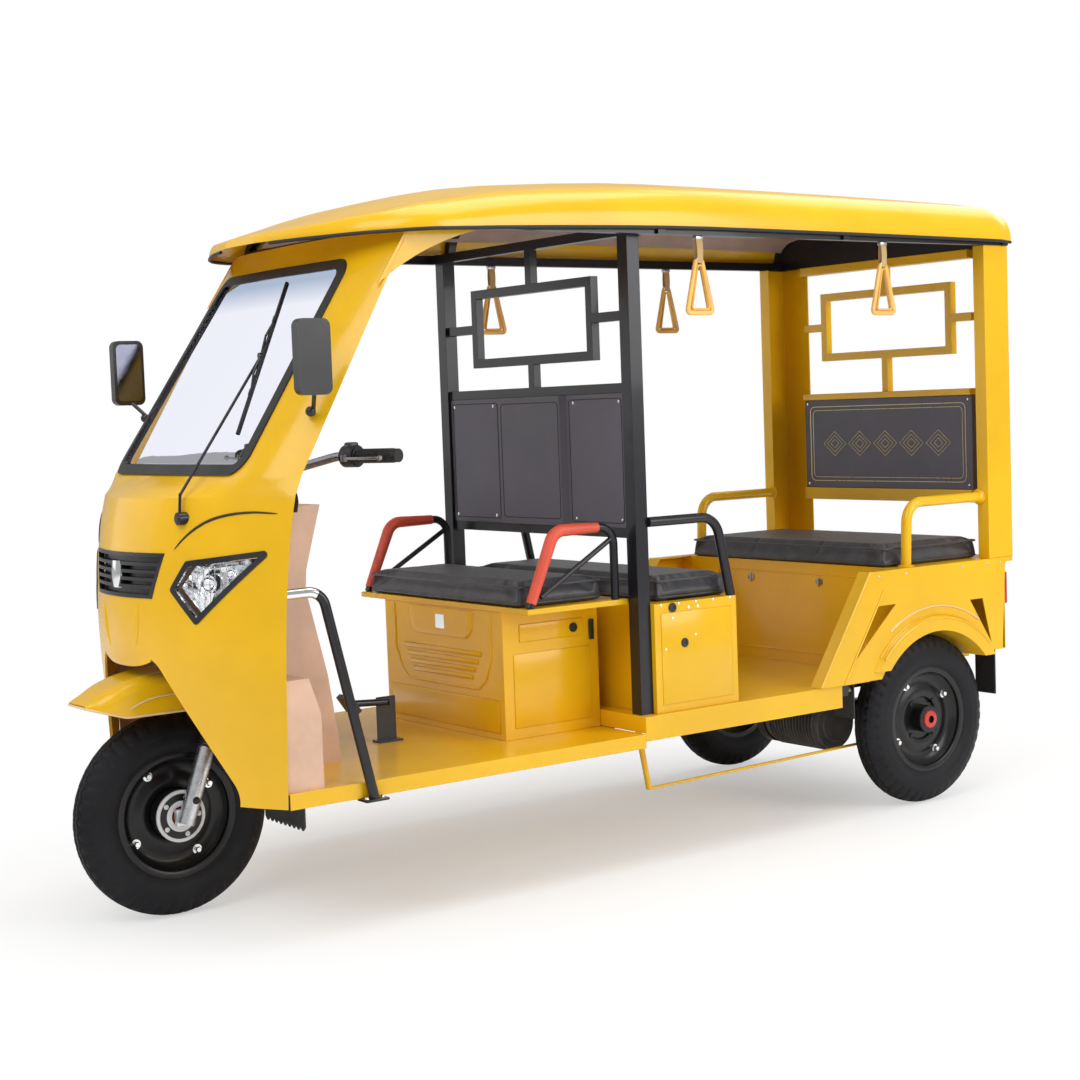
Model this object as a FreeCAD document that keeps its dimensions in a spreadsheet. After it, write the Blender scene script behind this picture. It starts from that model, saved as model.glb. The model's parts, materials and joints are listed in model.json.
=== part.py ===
import FreeCAD, Part
import Sketcher
import math
import os
import re

doc = FreeCAD.newDocument("Rickshaw")
sheet = doc.addObject("Spreadsheet::Sheet", "Sizes")
pieces = []

# Millimetres and degrees. Heights are above the road. Lengths along the vehicle start just ahead of the
# front axle and run to the rear.
SIZES = {
    # overall
    "front_axle": 36,
    "rear_axle": 2238,
    "rear_overhang": 357,
    "seat_gap": 0.3,
    "pin_gap": 0.15,
    # wheels
    "tyre_radius": 248,
    "tyre_width": 94,
    "bead_radius": 152,
    "bead_width": 70,
    "shoulder_radius": 220,
    "tread_width": 44,
    "track_half": 412,
    "rim_wall": 6,
    "hub_radius": 62,
    "hub_width": 110,
    "rear_hub_radius": 40,
    "rear_hub_width": 84,
    "axle_radius": 9,
    # steering
    "rake": 20,
    "trail_offset": 6,
    "leg_spread": 78,
    "leg_radius": 17,
    "slider_radius": 21,
    "slider_length": 190,
    "leg_foot": 16,
    "lug_width": 14,
    "lug_length": 40,
    "yoke_height": 596,
    "yoke_width": 206,
    "yoke_length": 64,
    "yoke_thick": 22,
    "stem_radius": 15,
    "head_radius": 26,
    "head_low": 650,
    "head_drop": 122,
    "strut_radius": 14,
    "strut_up": 10,
    "strut_foot": 165,
    "lug_set": 11,
    "axle_stub": 10,
    "strut_set": 8,
    "strut_sink": 20,
    "strut_head": 8,
    # handlebar
    "bar_radius": 11,
    "bar_height": 1052,
    "bar_half": 400,
    "bar_rise": 48,
    "bar_sweep": 141,
    "bar_elbow": 215,
    "bar_flat": 90,
    "bar_bend": 70,
    "clamp_width": 70,
    "clamp_length": 44,
    "clamp_height": 30,
    "grip_radius": 16.5,
    "grip_length": 126,
    "switch_radius": 27,
    "switch_length": 38,
    "bar_knee": 12,
    "clamp_drop": 4,
    "grip_cap": 6,
    # front mudguard
    "guard_half": 81,
    "guard_tip": -190,
    "guard_back": 172,
    "guard_low": 508,
    "guard_top": 602,
    "guard_crown": -30,
    "guard_beak": 34,
    "guard_fall": 27,
    "guard_edge": 28,
    "guard_wall": 3,
    "guard_foot": 90,
    # floor
    "sill_half": 474,
    "front_sill_low": 313,
    "front_floor": 350,
    "rear_floor": 394,
    "rear_sill_low": 330,
    "floor_sheet": 3,
    "floor_step": 1150,
    "floor_start": 310,
    "step_gap": 1,
    "sill_set": 6,
    "floor_notch": 180,
    "corner_deep": 26,
    "corner_in": 60,
    # chassis
    "rail_half": 270,
    "rail_width": 40,
    "rail_height": 50,
    "front_cross": 335,
    "mid_cross": 700,
    "bench_cross": 1300,
    "rear_cross": 1850,
    "cross_width": 40,
    "cross_height": 30,
    "tail_rail": 2546,
    # nose shell
    "shell_wall": 4,
    "shell_half": 474,
    "shell_low": 316,
    "nose_front": -76,
    "crease_height": 1022,
    "crease_front": -42,
    "cowl_rise": 48,
    "cowl_front": 70,
    "cowl_draw": 8,
    "shell_back": 104,
    "arch_foot_half": 430,
    "arch_top_half": 140,
    "arch_top": 650,
    "arch_round": 70,
    "header_height": 1632,
    "header_front": 445,
    "pillar_half": 442,
    "pillar_deep": 64,
    "gusset_low": 1500,
    "gusset_back": 700,
    "nose_tuck": 36,
    "nose_tuck_low": 14,
    "nose_tuck_high": 10,
    "back_lean_low": 8,
    "back_lean_middle": 20,
    "back_lean_high": 34,
    "back_lean_crease": 54,
    "back_lean_cowl": 78,
    "arch_drop": 60,
    "gusset_set": 6,
    # windscreen
    "screen_half_low": 346,
    "screen_half_high": 326,
    "screen_set": 2,
    "screen_drop": 60,
    "screen_round": 46,
    "screen_bow": 20,
    "seal_width": 24,
    "seal_lap": 10,
    "seal_proud": 6,
    "glass_thick": 5,
    # lamps and grille
    "grille_high": 896,
    "grille_low": 790,
    "grille_half_high": 188,
    "grille_half_low": 150,
    "grille_frame": 9,
    "grille_slats": 4,
    "slat_height": 8,
    "grille_badge": 54,
    "grille_deep": 9,
    "grille_proud": 2,
    "lamp_x": 205,
    "lamp_front": -27,
    "lamp_turn": 28.1,
    "bezel_width": 13,
    "bezel_proud": 3,
    "bezel_deep": 10,
    "lens_proud": 1,
    "lens_deep": 5,
    "lamp_side_along": -2,
    "lamp_side_height": 812,
    "lamp_foot_along": 75,
    "lamp_foot_height": 731,
    "lamp_tip_along": 283,
    "lamp_tip_height": 905,
    "lamp_brow_along": 48,
    "lamp_brow_height": 879,
    "lamp_round": 9,
    "lamp_room": 150,
    # wiper
    "wiper_blade": 9,
    "wiper_arm": 7,
    "wiper_pivot_radius": 15,
    "pivot_x": 234,
    "pivot_y": -14,
    "pivot_z": 976,
    "elbow_x": 231,
    "elbow_y": -8,
    "elbow_z": 1034,
    "arm_head_x": 177,
    "arm_head_y": 245,
    "arm_head_z": 1348,
    "blade_low_x": 259,
    "blade_low_y": 131,
    "blade_low_z": 1165,
    "blade_high_x": 108,
    "blade_high_y": 362,
    "blade_high_z": 1528,
    "wiper_hub_length": 40,
    "wiper_hub_set": 6,
    # mirrors
    "mirror_x": 500,
    "mirror_front": 159,
    "mirror_width": 86,
    "mirror_low": 1247,
    "mirror_height": 171,
    "mirror_thick": 24,
    "mirror_round": 18,
    "mirror_arm": 5,
    "mirror_foot_in": 12,
    "mirror_foot_back": 78,
    "mirror_foot_drop": 48,
    "mirror_seat_back": 45,
    "mirror_seat_rise": 12,
    # roof
    "roof_half": 500,
    "roof_front": 293,
    "roof_edge": 1662,
    "roof_rise": 146,
    "roof_wall": 5,
    "visor_edge": 1634,
    "roof_skirt": 8,
    "roof_tip": 47,
    "roof_brow": 137,
    "roof_shoulder": 262,
    "roof_climb": 600,
    "roof_crown": 1100,
    "roof_tail": 60,
    # roof frame
    "rail_tube": 25,
    "rail_set": 14,
    "roof_rail_front": 560,
    "bow_depth": 22,
    "bow_width": 25,
    "bow_count": 4,
    "bow_tail_gap": 6,
    # hand straps
    "strap_width": 22,
    "strap_thick": 4,
    "strap_length": 66,
    "handle_height": 140,
    "handle_width": 88,
    "handle_bar": 13,
    "near_strap": 1378,
    "far_strap": 2065,
    "handle_lap": 6,
    # driver's seat
    "driver_box_half": 284,
    "driver_box_front": 841,
    "seat_plate": 14,
    "driver_seat_height": 697,
    "box_sheet": 3,
    "driver_plate_half": 405,
    "driver_cushion_half": 366,
    "driver_cushion_back": 1112,
    "cushion_thick": 66,
    "seat_lip": 4,
    "armrest_half": 391,
    "armrest_top": 888,
    "armrest_radius": 11,
    "armrest_foot": 12,
    "armrest_lean": 84,
    "armrest_back": 1128,
    "armrest_bend": 46,
    "brace_radius": 7,
    "hatch_border": 45,
    "brace_foot": 36,
    "brace_low": 26,
    "brace_head": 4,
    "brace_drop": 30,
    # middle frame
    "mid_plane": 1160,
    "mid_post": 40,
    "mid_post_outer": 446,
    "grille_set": 8,
    "lattice_half": 280,
    "lattice_low": 1320,
    "lattice_high": 1541,
    "lattice_bar": 25,
    "mid_panel_low": 879,
    "mid_panel_high": 1232,
    "panel_thick": 26,
    "panel_centre": 154,
    "panel_step": 13,
    # middle bench
    "middle_box_back": 1486,
    "middle_box_half": 460,
    "middle_seat_height": 681,
    "middle_cushion_half": 420,
    "middle_cushion_front": 1241,
    "middle_overhang": 12,
    "rail_pipe": 13,
    "middle_rail_half": 446,
    "middle_rail_top": 895,
    "middle_rail_bend": 60,
    "middle_rail_lean": 40,
    "middle_rail_foot": 6,
    # rear bench
    "bench_front": 2103,
    "bench_height": 703,
    "bench_inner_half": 336,
    "rear_cushion_half": 424,
    "rear_cushion_back": 2506,
    "cushion_nose": 10,
    "arm_tube": 15,
    "arm_half": 448,
    "arm_top": 888,
    "arm_front": 2168,
    "arm_bend": 60,
    "arm_foot": 8,
    # seat hinges
    "pivot_height": 36,
    "pivot_set": 16,
    "pivot_radius": 4,
    "knuckle_radius": 7.5,
    "knuckle_length": 36,
    "hinge_half": 150,
    "leaf_thick": 3,
    "leaf_height": 52,
    "ear_gap": 1.5,
    "ear_thick": 3,
    "ear_rim": 1,
    # rear frame
    "rear_post_outer": 482,
    "rear_post_inner": 360,
    "rear_return": 440,
    "rear_post_front": 2484,
    "post_wall": 4,
    "rear_beam_deep": 38,
    "rear_beam": 27,
    "rear_rail": 39,
    "rear_panel_low": 903,
    "rear_panel_high": 1193,
    "panel_rail": 20,
    # rear body
    "side_wall": 4,
    "side_out": 484,
    "ledge_front": 1973,
    "slant_foot": 1771,
    "band_width": 92,
    "flange_deep": 44,
    "recess_top": 604,
    "recess_low": 452,
    "recess_end": 2077,
    "rear_recess_front": 2392,
    "rear_recess_back": 2448,
    "rear_recess_foot": 2484,
    "body_back": 2552,
    "body_back_low": 428,
    "fender_radius": 264,
    "fender_wall": 4,
    "fender_half": 498,
    "lip_width": 46,
    "lip_step": 10,
    "fender_low": 418,
    "flap_thick": 5,
    "flap_low": 288,
    "flap_inner": 380,
    "flap_outer": 456,
    "front_flap": 1924,
    "rear_flap": 2528,
    "tail_chamfer": 18,
    "rear_recess_drop": 16,
    "flap_hanger_low": 6,
    "flap_hanger_high": 12,
    # tail lamps
    "tail_lamp_x": 420,
    "tail_lamp_low": 560,
    "tail_lamp_width": 90,
    "tail_lamp_height": 96,
    "tail_lamp_deep": 30,
    # running gear
    "axle_tube": 30,
    "diff_radius": 88,
    "diff_half": 58,
    "axle_end": 40,
    "motor_radius": 76,
    "motor_length": 226,
    "motor_forward": 178,
    "motor_drop": 14,
    "case_half": 16,
    "motor_start": 20,
    "spring_width": 45,
    "spring_thick": 20,
    "spring_front": 1930,
    "hanger_width": 30,
    "case_rim": 4,
    "eye_drop": 6,
    # leg shield
    "lining_wall": 3,
    "lining_over": 20,
    "tunnel_half": 190,
    "lining_half": 463,
    "lining_front": 112,
    "lining_back": 205,
    "lining_high": 606,
    "lining_chamfer": 28,
    "lining_top": 985,
    "dash_high": 1050,
    "dash_back": 168,
    "tray_half": 300,
    "tunnel_foot": 407,
    "tunnel_toe": 403,
    "tunnel_toe_height": 414,
    "tunnel_shin": 381,
    "tunnel_shin_height": 566,
    "tunnel_waist": 330,
    "tunnel_waist_height": 780,
    "tunnel_neck": 334,
    "tunnel_neck_height": 830,
    "tunnel_top": 379,
    "column_hole": 44,
    "column_hole_low": 900,
    "tray_front": 20,
    "tray_border": 20,
    "tray_floor": 12,
    # grab rails
    "grab_radius": 12,
    "grab_height": 802,
    "grab_inner": 430,
    "grab_bend": 34,
    "grab_corner": 222,
    "grab_side": 460,
    "grab_foot": 321,
    "grab_outer": 489,
    "foot_length": 62,
    "foot_width": 44,
    "foot_thick": 6,
    "grab_sink": 20,
    "grab_fall": 5,
    "foot_in": 12,
    # front flap
    "flap_plane": 158,
    "flap_near": 255,
    "flap_far": 445,
    "flap_bottom": 262,
    "tooth": 10,
    "tooth_count": 9,
    # pedal
    "pedal_x": 60,
    "pedal_pivot": 632,
    "pedal_pivot_height": 455,
    "pedal_arm": 9,
    "pedal_reach": 120,
    "pedal_pad": 62,
    "pedal_plate": 5,
    "bracket_length": 56,
    "bracket_rise": 12,
    "bracket_set": 16,
    "bracket_foot_width": 40,
    "bracket_foot_length": 70,
    "bracket_foot_set": 34,
    "pedal_pin_out": 24,
    "pedal_pin_in": 14,
    "pedal_pin_radius": 8,
    "pedal_rise": 8,
    "pedal_pad_deep": 14,
    "pedal_pad_lean": 35,
    # brake rod
    "lever_x": 340,
    "lever_top_y": 1216,
    "lever_foot_y": 1262,
    "lever_foot": 172,
    "brake_rod": 4,
    "drum_lever": 60,
    "lever_sink": 20,
    "lever_radius": 8,
    "drum_lever_gap": 16,
    "drum_lever_thick": 8,
    "drum_lever_width": 32,
    "drum_lever_back": 12,
    "drum_lever_foot": 10,
}
for row, (name, value) in enumerate(SIZES.items(), 1):
    sheet.set(f"A{row}", name)
    sheet.set(f"B{row}", str(value))
    sheet.setAlias(f"B{row}", name)
reader = doc.addObject("App::FeaturePython", "Reader")
doc.recompute()


def formula(text):
    """An expression for setExpression, from one that names the sheet's cells alone."""
    return re.sub(r"[a-z][a-z_]*[a-z]", lambda m: f"Sizes.{m[0]}" if m[0] in SIZES else m[0], str(text))


def val(text):
    """The number that a formula of the sheet's sizes gives now."""
    return float(reader.evalExpression(formula(text)))


def bind(obj, prop, text):
    """Ties a property to the sheet."""
    obj.setExpression(prop, formula(text))


def vec(x, y, z):
    return FreeCAD.Vector(x, y, z)


def box(x_low, x_high, y_low, y_high, z_low, z_high):
    """A block between two corners, whose six numbers are formulas of the sheet's sizes."""
    block = doc.addObject("Part::Box", "Block")
    bind(block, "Length", f"({x_high}) - ({x_low})")
    bind(block, "Width", f"({y_high}) - ({y_low})")
    bind(block, "Height", f"({z_high}) - ({z_low})")
    for axis, low in zip("xyz", (x_low, y_low, z_low)):
        bind(block, f"Placement.Base.{axis}", low)
    return block


def twin_boxes(x_low, x_high, *rest):
    """A block at each side of the vehicle."""
    return [box(x_low, x_high, *rest), box(f"-({x_high})", f"-({x_low})", *rest)]


def rod(x_low, x_high, y_mid, z_mid, radius):
    """A round bar across the vehicle."""
    bar = doc.addObject("Part::Cylinder", "Bar")
    bar.Placement = FreeCAD.Placement(FreeCAD.Vector(), FreeCAD.Rotation(FreeCAD.Vector(0, 1, 0), 90))
    bind(bar, "Radius", radius)
    bind(bar, "Height", f"({x_high}) - ({x_low})")
    for axis, place in zip("xyz", (x_low, y_mid, z_mid)):
        bind(bar, f"Placement.Base.{axis}", place)
    return bar


def fuse(parts):
    """Solids joined into one."""
    joined = doc.addObject("Part::MultiFuse", "Joined")
    joined.Shapes = parts
    return joined


def cut(base, tools):
    """A solid with others taken out of it."""
    kept = doc.addObject("Part::Cut", "Kept")
    kept.Base = base
    kept.Tool = tools[0] if len(tools) == 1 else fuse(tools)
    return kept


def apart(parts):
    """Like solids that don't touch, as one sub-part."""
    group = doc.addObject("Part::Compound", "Group")
    group.Links = parts
    return group


def mirrored(part):
    """The same piece at the other side of the vehicle."""
    other = doc.addObject("Part::Mirroring", "Other")
    other.Source = part
    other.Normal = FreeCAD.Vector(1, 0, 0)
    return other


def pair(part):
    """A piece and its mirror image, as one sub-part."""
    return apart([part, mirrored(part)])


def made(shape):
    """A shape worked out by Part's own functions, as an object of the document."""
    feature = doc.addObject("Part::Feature", "Made")
    feature.Shape = shape if shape.Placement.isIdentity() else Part.makeCompound([shape])
    return feature


def outline(body, plane, corners, offset):
    """A closed sketch on one of a body's own planes, with every corner placed by two formulas."""
    sketch = body.newObject("Sketcher::SketchObject", "Outline")
    sketch.AttachmentSupport = ([o for o in body.Origin.OriginFeatures if o.Role == plane][0], "")
    sketch.MapMode = "FlatFace"
    bind(sketch, "AttachmentOffset.Base.z", offset)
    spots = [vec(val(x), val(y), 0) for x, y in corners]
    for i, spot in enumerate(spots):
        sketch.addGeometry(Part.LineSegment(spot, spots[(i + 1) % len(spots)]))
    for i in range(len(spots)):
        sketch.addConstraint(Sketcher.Constraint("Coincident", i, 2, (i + 1) % len(spots), 1))
    for i, corner in enumerate(corners):
        for kind, place, text in zip(("DistanceX", "DistanceY"), spots[i][:2], corner):
            held = sketch.addConstraint(Sketcher.Constraint(kind, -1, 1, i, 1, place))
            sketch.setExpression(f"Constraints[{held}]", formula(text))
    return sketch


def pad(plane, corners, start, end):
    """A body padded from an outline: YZ_Plane along +X, XY_Plane along +Z, XZ_Plane along -Y."""
    body = doc.addObject("PartDesign::Body", "Body")
    block = body.newObject("PartDesign::Pad", "Pad")
    block.Profile = outline(body, plane, corners, start)
    bind(block, "Length", f"({end}) - ({start})")
    return body


def revolved(corners):
    """A body turned about the X axis from an outline of (place along X, radius) corners."""
    body = doc.addObject("PartDesign::Body", "Turned")
    turn = body.newObject("PartDesign::Revolution", "Revolution")
    profile = outline(body, "XY_Plane", corners, "0")
    turn.Profile = profile
    turn.ReferenceAxis = (profile, ["H_Axis"])
    turn.Angle = 360
    return body


MIDDLE = "(rear_axle + rear_overhang + front_axle - tyre_radius) / 2"


def name_piece(obj, label, x="0", y="0", z="0"):
    """Gives a finished sub-part its node's name and its place: the middle of the vehicle's length is 0."""
    if obj.TypeId in ("Part::Box", "Part::Cylinder"):
        obj = apart([obj])
    obj.Label = label
    bind(obj, "Placement.Base.x", x)
    bind(obj, "Placement.Base.y", f"({y}) - {MIDDLE}")
    bind(obj, "Placement.Base.z", z)
    pieces.append(obj)


def tube(points, radius, bend):
    """A round bar along straight runs, mitred through each bend in short lengths."""
    spots = [vec(*p) for p in points]
    way = [spots[0]]
    for before, corner, after in zip(spots, spots[1:], spots[2:]):
        into = (corner - before).normalize()
        out = (after - corner).normalize()
        half = into.getAngle(out) / 2
        back = bend * math.tan(half)
        first = corner - into * back
        last = corner + out * back
        centre = corner + ((first + last) / 2 - corner).normalize() * (bend / math.cos(half))
        way += [first, centre + (corner - centre).normalize() * bend, last]
    way.append(spots[-1])
    runs = []
    for i, (start, end) in enumerate(zip(way, way[1:])):
        along = (end - start).normalize()
        run = bar_between(start - along * 2 * radius, end + along * 2 * radius, radius)
        before = (start - way[i - 1]).normalize() if i else along
        after = (way[i + 2] - end).normalize() if i + 2 < len(way) else along
        ends = [Part.makeCylinder(8 * radius, 8 * radius, start, -(along + before)),
                Part.makeCylinder(8 * radius, 8 * radius, end, along + after)]
        runs.append(run.cut(ends))
    return runs[0].fuse(runs[1:])


def bar_between(start, end, radius):
    """A straight round bar from one point to another."""
    way = end - start
    return Part.makeCylinder(radius, way.Length, start, way)


def ring_prism(wire, way):
    """The solid that a closed flat wire sweeps along a vector."""
    return Part.Face(wire).extrude(way)


def rounded_outline(corners, radius):
    """A closed wire through corners in order, with each corner rounded."""
    arcs = []
    for i, corner in enumerate(corners):
        before = corners[i - 1]
        after = corners[(i + 1) % len(corners)]
        into = (corner - before).normalize()
        out = (after - corner).normalize()
        half = into.getAngle(out) / 2
        back = radius * math.tan(half)
        first = corner - into * back
        last = corner + out * back
        centre = corner + ((first + last) / 2 - corner).normalize() * (radius / math.cos(half))
        arcs.append((first, centre + (corner - centre).normalize() * radius, last))
    lines = []
    for i, (first, top, last) in enumerate(arcs):
        lines.append(Part.Arc(first, top, last).toShape())
        lines.append(Part.LineSegment(last, arcs[(i + 1) % len(arcs)][0]).toShape())
    return Part.Wire(lines)


def front_view_prism(half_low, half_high, low, high, radius):
    """A four-sided outline seen from the front, rounded if it has a radius, as a prism through the nose."""
    ahead = val("nose_front - shell_half")
    corners = [
        vec(-half_low, ahead, low),
        vec(half_low, ahead, low),
        vec(half_high, ahead, high),
        vec(-half_high, ahead, high),
    ]
    wire = rounded_outline(corners, radius) if radius else Part.makePolygon(corners + corners[:1])
    return ring_prism(wire, vec(0, val("gusset_back") - 2 * ahead, 0))


# The wheels: tyres and rims are turned about their axles.
def tyre():
    """A plain tyre with its tread's flat and its shoulders."""
    half = [
        ("tyre_width / 2", "bead_radius"),
        ("tyre_width / 2", "shoulder_radius"),
        ("tread_width / 2", "tyre_radius"),
    ]
    return revolved(half + [(f"-({x})", r) for x, r in reversed(half)])


def rim(hub, width):
    """A wheel's disc, hub and band, bored for its axle."""
    bore = "axle_radius + pin_gap"
    half = [
        (f"{width} / 2", bore),
        (f"{width} / 2", hub),
        ("rim_wall / 2", hub),
        ("rim_wall / 2", "bead_radius - rim_wall"),
        ("bead_width / 2", "bead_radius - rim_wall"),
        ("bead_width / 2", "bead_radius"),
    ]
    return revolved(half + [(f"-({x})", r) for x, r in reversed(half)])


name_piece(tyre(), "front_tyre", "0", "front_axle", "tyre_radius")
name_piece(rim("hub_radius", "hub_width"), "front_rim", "0", "front_axle", "tyre_radius")
for side, place in (("left", "track_half"), ("right", "-track_half")):
    name_piece(tyre(), f"rear_{side}_tyre", place, "rear_axle", "tyre_radius")
    disc = rim("rear_hub_radius", "rear_hub_width")
    name_piece(disc, f"rear_{side}_rim", place, "rear_axle", "tyre_radius")


# The nose: a pressed skin, lofted through level sections.
def plan_section(height, front, back, half, near, far):
    """A level section of the nose: a closed wire from the middle of its front to its open back."""
    deep = back - front
    xs = (0, 0.4 * half, 0.75 * half, half)
    ys = (front, front + near * deep, front + far * deep, back)
    right = [vec(x, y, height) for x, y in zip(xs, ys)]
    left = [vec(-p.x, p.y, height) for p in reversed(right[1:])]
    curve = Part.BSplineCurve()
    curve.interpolate(left + right)
    tail = Part.LineSegment(right[-1], left[0])
    return Part.Wire([curve.toShape(), tail.toShape()])


def nose_solid(inset):
    """The nose's outer form, drawn in by the inset, or swollen where it is negative."""
    back_more = 3 * max(inset, 0)
    front = val("nose_front")
    back = val("shell_back")
    half = val("shell_half") - inset
    crease = val("crease_height")
    cowl = val("crease_height + cowl_rise")
    cowl_front = val("cowl_front")
    header = val("header_height")
    low = val("shell_low")
    rise = crease - low
    levels = (
        (0, front + val("nose_tuck"), back),
        (0.33, front + val("nose_tuck_low"), back + val("back_lean_low")),
        (0.66, front, back + val("back_lean_middle")),
        (0.84, front + val("nose_tuck_high"), back + val("back_lean_high")),
        (1, val("crease_front"), back + val("back_lean_crease")),
    )
    lower = []
    for share, y_front, y_back in levels:
        height = low + share * rise if share else low - max(inset, 0)
        lower.append(plan_section(height, y_front + inset, y_back + back_more, half, 0.17, 0.55))
    nose = Part.makeLoft(lower, True, False)
    cowl_half = half - val("cowl_draw")
    cowl_back = back + val("back_lean_cowl")
    bow = val("screen_bow")

    def upper_section(share, y_back):
        y_front = cowl_front + share * (val("header_front") - cowl_front)
        deep = y_back - y_front
        half_here = cowl_half - share * (val("shell_half") - val("cowl_draw") - val("pillar_half"))
        height = cowl + share * (header - cowl) + (share == 1) * max(inset, 0)
        near = bow * 0.3 / deep
        far = bow / deep
        return plan_section(height, y_front + inset, y_back + back_more, half_here, near, far)

    cowl_wire = upper_section(0, cowl_back)
    cowl_part = Part.makeLoft([lower[-1], cowl_wire], True, True)
    upper = [cowl_wire]
    for share in (0.26, 0.53, 0.8, 1):
        y_front = cowl_front + share * (val("header_front") - cowl_front)
        lean = (cowl_back - cowl_front) * (1 - share) + val("pillar_deep") * share
        upper.append(upper_section(share, y_front + lean))
    top = Part.makeLoft(upper, True, False)
    return nose.fuse([cowl_part, top])


def nose_skin(outer_inset, inner_inset):
    """A layer of the nose between two insets from its outer face."""
    return nose_solid(outer_inset).cut(nose_solid(inner_inset))


def screen_prism(inset):
    """The windscreen's outline, drawn in by the inset."""
    return front_view_prism(
        val("screen_half_low") - inset,
        val("screen_half_high") - inset,
        val("crease_height + cowl_rise + screen_set") + inset,
        val("header_height - screen_drop") - inset,
        val("screen_round") - inset,
    )


def grille_prism(inset):
    """The grille's outline, drawn in by the inset."""
    return front_view_prism(
        val("grille_half_low") - inset,
        val("grille_half_high") - inset,
        val("grille_low") + inset,
        val("grille_high") - inset,
        0,
    )


def lamp_prism(inset):
    """The left headlamp's kite-shaped outline, drawn in by the inset, as a prism square to its face."""
    turn = math.radians(val("lamp_turn"))
    along = vec(math.cos(turn), math.sin(turn), 0)
    out = vec(math.sin(turn), -math.cos(turn), 0)
    origin = vec(val("lamp_x"), val("lamp_front"), 0)
    room = val("lamp_room")
    corners = []
    for corner in ("side", "foot", "tip", "brow"):
        place = along * val(f"lamp_{corner}_along") + vec(0, 0, val(f"lamp_{corner}_height"))
        corners.append(origin + place + out * room)
    wire = rounded_outline(corners, val("lamp_round"))
    if inset:
        wire = wire.makeOffset2D(-inset)
    return ring_prism(wire, out * -2 * room)


def pillar_gusset():
    """The curved plate where the left windscreen pillar runs into the roof rail."""
    x_in = val("pillar_half") - val("shell_wall")
    high = val("header_height")
    low = val("gusset_low")
    slope = (val("header_front") - val("cowl_front")) / (high - val("crease_height + cowl_rise"))
    pillar_back = val("header_front") + val("pillar_deep")
    set_in = val("gusset_set")
    foot = vec(x_in, pillar_back - (high - low) * slope - set_in, low)
    corner = vec(x_in, pillar_back - set_in, high)
    tip = vec(x_in, val("gusset_back"), high)
    bulge = (foot + tip) / 2 + (corner - (foot + tip) / 2) * 0.2
    edges = [Part.LineSegment(foot, corner), Part.LineSegment(corner, tip), Part.Arc(tip, bulge, foot)]
    return ring_prism(Part.Wire([edge.toShape() for edge in edges]), vec(val("shell_wall"), 0, 0))


def flipped(shape):
    """The same shape at the other side of the vehicle."""
    return shape.mirror(vec(0, 0, 0), vec(1, 0, 0))


wall = val("shell_wall")
wheel_arch = front_view_prism(
    val("arch_foot_half"),
    val("arch_top_half"),
    val("shell_low - arch_drop"),
    val("arch_top"),
    val("arch_round"),
)
lamp_hole = lamp_prism(val("bezel_width") / 2)
grille_hole = grille_prism(val("grille_frame") / 2)
shell = nose_skin(0, wall).cut(
    [screen_prism(val("seal_lap")), wheel_arch, grille_hole, lamp_hole, flipped(lamp_hole)])
gusset = pillar_gusset()
name_piece(made(shell.fuse([gusset, flipped(gusset)])), "nose_shell")

gap = val("seat_gap")
shell_ready = shell.copy()
seal = nose_skin(-val("seal_proud"), wall + val("seal_proud")).common(screen_prism(0))
seal = seal.cut([screen_prism(val("seal_width")), shell_ready])
name_piece(made(seal), "windscreen_seal")
glass = nose_skin(0, val("glass_thick")).common(screen_prism(val("seal_width") + gap))
name_piece(made(glass), "windscreen_glass")


def slat_prisms():
    """The grille's border and its level slats."""
    border = grille_prism(0).cut(grille_prism(val("grille_frame")))
    count = int(val("grille_slats"))
    room = val("grille_high - grille_low - 2 * grille_frame")
    half = val("grille_half_high")
    high = val("slat_height")
    ahead = val("nose_front - grille_half_high")
    slats = []
    for i in range(count):
        middle = val("grille_low + grille_frame") + room * (i + 1) / (count + 1)
        slats.append(Part.makeBox(2 * half, -2 * ahead, high, vec(-half, ahead, middle - high / 2)))
    badge = val("grille_badge")
    middle = val("(grille_high + grille_low) / 2")
    plate = Part.makeBox(badge, -2 * ahead, badge, vec(-badge / 2, ahead, middle - badge / 2))
    return border.fuse([slats[0].fuse(slats[1:] + [plate]).common(grille_prism(1))])


grille = nose_skin(-val("grille_proud"), val("grille_deep")).common(slat_prisms())
name_piece(made(grille.cut(shell_ready)), "nose_grille")

bezel = nose_skin(-val("bezel_proud"), val("bezel_deep")).common(lamp_prism(0))
bezel = bezel.cut([lamp_prism(val("bezel_width")), shell_ready])
name_piece(pair(made(bezel)), "headlamp_bezels")
lens = nose_skin(-val("lens_proud"), val("lens_deep")).common(lamp_prism(val("bezel_width") + gap))
name_piece(pair(made(lens)), "headlamp_lenses")


def wiper():
    """An arm from its pivot on the cowl, and the blade that it holds on the glass."""
    pivot, elbow, head, blade_low, blade_high = (
        vec(*(val(f"{place}_{axis}") for axis in "xyz"))
        for place in ("pivot", "elbow", "arm_head", "blade_low", "blade_high"))
    radius = val("wiper_arm") / 2
    arm = bar_between(elbow - vec(0, 0, radius), head, radius)
    foot = bar_between(pivot, elbow, radius)
    blade = bar_between(blade_low, blade_high, val("wiper_blade") / 2)
    start = pivot - vec(0, val("wiper_hub_set"), 0)
    hub = Part.makeCylinder(val("wiper_pivot_radius"), val("wiper_hub_length"), start, vec(0, 1, 0))
    return hub.cut(nose_solid(-gap)).fuse(foot).fuse(arm).fuse(blade)


name_piece(made(wiper()), "wiper")


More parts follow.
